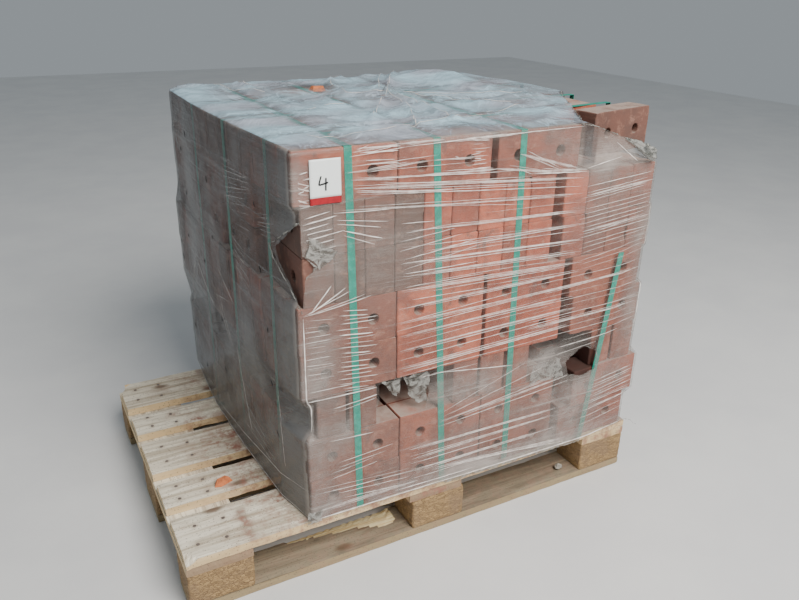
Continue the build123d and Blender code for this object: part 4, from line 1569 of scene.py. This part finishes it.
def crumpled(corners, nx, ny, depth, seed, verts, faces, ragged):
    """A patch of crushed film between four corners, with ridges along its normal and a ragged rim."""
    a, b, c, d = (Vector(p) for p in corners)
    normal = (b - a).cross(d - a).normalized()
    base = len(verts)
    for j in range(ny + 1):
        for i in range(nx + 1):
            u, v = i / nx, j / ny
            p = a * (1 - u) * (1 - v) + b * u * (1 - v) + c * u * v + d * (1 - u) * v
            q = Vector((p.x + 0.6 * p.z, p.y, p.z - 0.4 * p.x)) * 38
            big = 1 - 2.6 * abs(noise.noise(q * 0.6 + Vector((seed, 0, 0))))
            small = 1 - 2.4 * abs(noise.noise(q * 1.5 + Vector((0, seed, 0))))
            rim = min(u, 1 - u, v, 1 - v)
            slide = Vector((noise.noise(q + Vector((0, 0, seed))), 0, noise.noise(q - Vector((0, 0, seed)))))
            slide *= ragged if rim < 0.01 else 0.3 * ragged
            verts.append(p + normal * depth * (big + 0.3 * small) + slide)
    faces += grid_faces(ny + 1, nx + 1, base)


def bunch(stations, seed, verts, faces):
    """A bundle of gathered film: a fluted roll through stations of place and radius in mm."""
    base = len(verts)
    ring, steps = 28, 5
    rows = []
    for a, b in zip(stations, stations[1:]):
        rows += [[va + (vb - va) * k / steps for va, vb in zip(a, b)] for k in range(steps)]
    rows.append(stations[-1])
    for i, (x, y, z, radius) in enumerate(rows):
        for k in range(ring):
            t = 2 * math.pi * k / ring
            flute = 1 + 0.30 * math.sin(5 * t + 0.14 * i) + 0.35 * wander(k * 0.45, i * 0.22, seed)
            out = radius * MM * flute * (1 + 0.15 * wander(i * 0.5, seed))
            verts.append(Vector((x, y + 0.7 * out * math.cos(t), z + out * math.sin(t))))
    faces += grid_faces(len(rows), ring, base, closed=True)


# Crushed patches of film: four corners as x, way in from the wall in mm and z, cells, depth in mm, seed and
# raggedness in mm. In this order: a torn curtain and slack film in the left fork tunnel, slack film pushed into
# the right one, film hanging over the deck's edge, a flap over the corner tear and a bundle at the left foot.
RAGS = (
    (((-0.150, 4, 0.451), (-0.094, 6, 0.453), (-0.104, 18, 0.396), (-0.124, 20, 0.410)), 18, 16, 6, 1.7, 14),
    (((-0.092, 2, 0.453), (-0.034, 0, 0.453), (-0.036, 6, 0.362), (-0.066, 20, 0.374)), 18, 22, 6, 3.1, 14),
    (((0.250, -1, 0.352), (0.352, 3, 0.344), (0.346, 8, 0.394), (0.252, -1, 0.400)), 34, 18, 2.8, 4.4, 8),
    (((0.010, -3, 0.150), (0.440, -3, 0.150), (0.436, -2, 0.128), (0.020, -2, 0.134)), 70, 5, 0.7, 5.9, 4),
    (((CORNER.x + 0.004, -3, 0.772), (CORNER.x + 0.040, -3, 0.738), (CORNER.x + 0.078, -3, 0.768),
      (CORNER.x + 0.016, -3, 0.802)), 20, 16, 3.4, 6.3, 14),
    (((-0.330, -4, 0.148), (-0.300, -6, 0.147), (-0.302, -2, 0.176), (-0.331, 0, 0.180)), 10, 10, 3.5, 9.9, 14),
)
# Roll bunched at the slipped corner: x, way in from the wall in mm, z and radius in mm
SLIPPED_ROLL = ((0.455, -3, 0.926, 2), (0.482, -4, 0.914, 5), (0.506, -5, 0.902, 11), (0.524, -6, 0.893, 15),
                (0.540, -6, 0.885, 15), (0.551, -4, 0.880, 9), (0.556, 2, 0.877, 3))
WALL_Y = -0.405


def make_rags():
    """Crushed film at the tears and the foot, and the roll at the slipped top corner."""
    verts, faces = [], []
    for corners, nx, ny, depth, seed, ragged in RAGS:
        places = [(x, WALL_Y + way_in * MM, z) for x, way_in, z in corners]
        crumpled(places, nx, ny, depth * MM, seed, verts, faces, ragged * MM)
    roll = [(x, WALL_Y + way_in * MM, z, radius) for x, way_in, z, radius in SLIPPED_ROLL]
    bunch(roll, 7.6, verts, faces)
    return mesh_object("film_rags", verts, faces, RAG)


def make_stone():
    """A pebble lying on the front bottom board."""
    verts = []
    at, half = Vector((0.409, -0.369, 0.0295)), (11, 8, 7.5)
    rows, ring = 7, 12
    for i in range(rows + 1):
        lean = math.pi * i / rows
        for cos, sin in around(ring):
            d = Vector((math.sin(lean) * cos, math.sin(lean) * sin, math.cos(lean)))
            rough = 1 + 0.35 * noise.noise(d * 1.7 + Vector((4.0, 0, 0)))
            verts.append(at + Vector([a * b for a, b in zip(d, half)]) * MM * rough)
    faces = grid_faces(rows + 1, ring, closed=True, flip=True)
    mesh_object("stone_chip", verts, faces, STONE, False)


# Small dark nicks in the film, as place and height in mm
LEFT_NICKS = ((347, 827), (330, 710), (328, 593), (441, 545), (436, 496), (162, 575), (84, 806), (74, 666),
              (-226, 826), (-238, 690), (254, 881), (51, 458), (404, 288), (-260, 559), (274, 220), (56, 313),
              (-266, 433), (-283, 314))


def make_nicks():
    """Small dark nicks in the film, as low slanting near-black lozenges."""
    r = random.Random(3)
    verts, faces = [], []
    for place, z in LEFT_NICKS:
        p = on_wall("left", place * MM, z * MM)
        long, wide, lean = r.uniform(6, 11) * MM, r.uniform(2.2, 3.6) * MM, math.radians(r.uniform(10, 40))
        along = Vector((0, math.sin(lean), math.cos(lean)))
        across = Vector((0, math.cos(lean), -math.sin(lean)))
        base, ring = len(verts), 12
        for cos, sin in around(ring):
            rough = 1 + 0.3 * wander(cos * 2, sin * 2, place)
            verts.append(p + (along * cos * long + across * sin * wide) * rough)
        verts.append(p + SIDES["left"][2] * 1.2 * MM)
        faces += [[base + k, base + ring, base + (k + 1) % ring] for k in range(ring)]
    return mesh_object("film_nicks", verts, faces, NICK_BLACK)


def make_strand():
    """A thin strand of film hanging out at the front right foot."""
    path = ((0.575, -0.402, 0.152), (0.592, -0.410, 0.153), (0.608, -0.412, 0.147), (0.620, -0.413, 0.134),
            (0.632, -0.414, 0.127))
    verts = []
    points = along_path([Vector(p) for p in path], HEM_STEP)
    for i, p in enumerate(points):
        half = 1.6 * MM * (1 - 0.5 * i / len(points))
        twist = Vector((0, math.cos(i * 0.9), math.sin(i * 0.9))) * half
        verts += [p - twist, p + twist]
    return mesh_object("film_strand", verts, grid_faces(len(points), 2, flip=True), RAG)


make_stone()
film = make_film()
film_parts = [make_folds(), make_lips(), make_rags(), make_nicks(), make_strand()]


# Label

def make_label():
    """A card on the film with a red foot, for a hand-drawn numeral."""
    low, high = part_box("label_card")
    y = low.y - 2.0 * MM
    seam = low.z + 13 * MM
    nx, nz = 12, 16
    for name, z0, z1, material in (("label_red_foot", low.z, seam, RED_BAND),
                                   ("label_white", seam, high.z, CARD)):
        verts = []
        for j in range(nz + 1):
            for i in range(nx + 1):
                x = low.x + (high.x - low.x) * i / nx
                z = z0 + (z1 - z0) * j / nz
                curl = 1.6 * MM * ((2 * i / nx - 1) ** 2) * (1 - (z - low.z) / (high.z - low.z))
                verts.append((x, y - curl, z))
        obj = mesh_object(name, verts, grid_faces(nz + 1, nx + 1), material)
        obj.modifiers.new("thickness", "SOLIDIFY").thickness = 0.4 * MM
        if name == "label_white":
            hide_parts("label_card")
    return low, high, y


def ink_stroke(name, points, width, y):
    """A flat pen stroke along points in the plane of the card."""
    verts = []
    n = len(points)
    for i, (x, z) in enumerate(points):
        ax, az = points[max(0, i - 1)]
        bx, bz = points[min(n - 1, i + 1)]
        span = math.hypot(bx - ax, bz - az)
        px, pz = -(bz - az) / span * width / 2, (bx - ax) / span * width / 2
        verts += [(x - px, y, z - pz), (x + px, y, z + pz)]
    obj = mesh_object(name, verts, grid_faces(n, 2, flip=True), INK, False)
    obj.modifiers.new("thickness", "SOLIDIFY").thickness = 0.3 * MM


def make_numeral(low, high, y):
    """A hand-drawn 4: a hook with a bar, and a stem across it."""
    x, z = (low.x + high.x) / 2, low.z
    hook = [(-8.6, 53), (-10.2, 48), (-11.8, 43), (-13.0, 38.6), (-12.8, 37.2), (-11.0, 37.0), (-6.0, 37.9),
            (-1.0, 39.0), (5.2, 40.2)]
    stem = [(0.9, 49), (0.8, 44), (0.6, 39), (0.5, 33), (0.3, 28), (0.5, 25.5)]
    for name, points in (("label_stroke_hook", hook), ("label_stroke_stem", stem)):
        ink_stroke(name, [(x + a * MM, z + b * MM) for a, b in points], 2.9 * MM, y)


label_low, label_high, label_y = make_label()
make_numeral(label_low, label_high, label_y - 1.2 * MM)


# Stage, light and camera

def make_stage():
    """A pale floor."""
    bpy.ops.mesh.primitive_plane_add(size=14, location=(0, 2.0, 0))
    floor = bpy.context.object
    floor.name = "floor"
    s = Shader("pale_floor")
    tone = s.mix(s.band(s.noise(3.0, 5.0, 0.6), 0.3, 0.7), (0.74, 0.74, 0.73), (0.69, 0.69, 0.69))
    floor.data.materials.append(s.finish(Base_Color=tone, Roughness=0.85))


def area_light(name, at, aim, size, power, colour):
    """A round lamp aimed at a place."""
    data = bpy.data.lights.new(name, "AREA")
    data.shape = "DISK"
    data.size = size
    data.energy = power
    data.color = colour
    obj = bpy.data.objects.new(name, data)
    bpy.context.scene.collection.objects.link(obj)
    obj.location = at
    obj.rotation_euler = (Vector(aim) - Vector(at)).to_track_quat("-Z", "Y").to_euler()


def make_light():
    """A cool even sky and a large warm lamp from the front."""
    world = bpy.data.worlds.new("studio")
    bpy.context.scene.world = world
    world.use_nodes = True
    sky = world.node_tree.nodes["Background"]
    sky.inputs[0].default_value = (0.78, 0.86, 0.92, 1)
    sky.inputs[1].default_value = 0.36
    area_light("key", (0.4, -3.0, 3.5), (0.05, -0.1, 0.4), 2.4, 290, (1.0, 0.97, 0.93))


def make_camera():
    """The photo's camera."""
    sy, cy = math.sin(CAMERA_YAW), math.cos(CAMERA_YAW)
    sp, cp = math.sin(CAMERA_PITCH), math.cos(CAMERA_PITCH)
    look = Vector((sy * cp, cy * cp, -sp))
    across = Vector((cy, -sy, 0))
    up = across.cross(look)
    sr, cr = math.sin(CAMERA_ROLL), math.cos(CAMERA_ROLL)
    right = across * cr + up * sr
    top = across * -sr + up * cr
    data = bpy.data.cameras.new("camera")
    data.sensor_width = 36
    data.lens = CAMERA_LENS
    cam = bpy.data.objects.new("camera", data)
    bpy.context.scene.collection.objects.link(cam)
    turn = Matrix((right, top, -look)).transposed()
    cam.matrix_world = Matrix.Translation(CAMERA_AT) @ turn.to_4x4()
    bpy.context.scene.camera = cam


make_stage()
make_light()
make_camera()
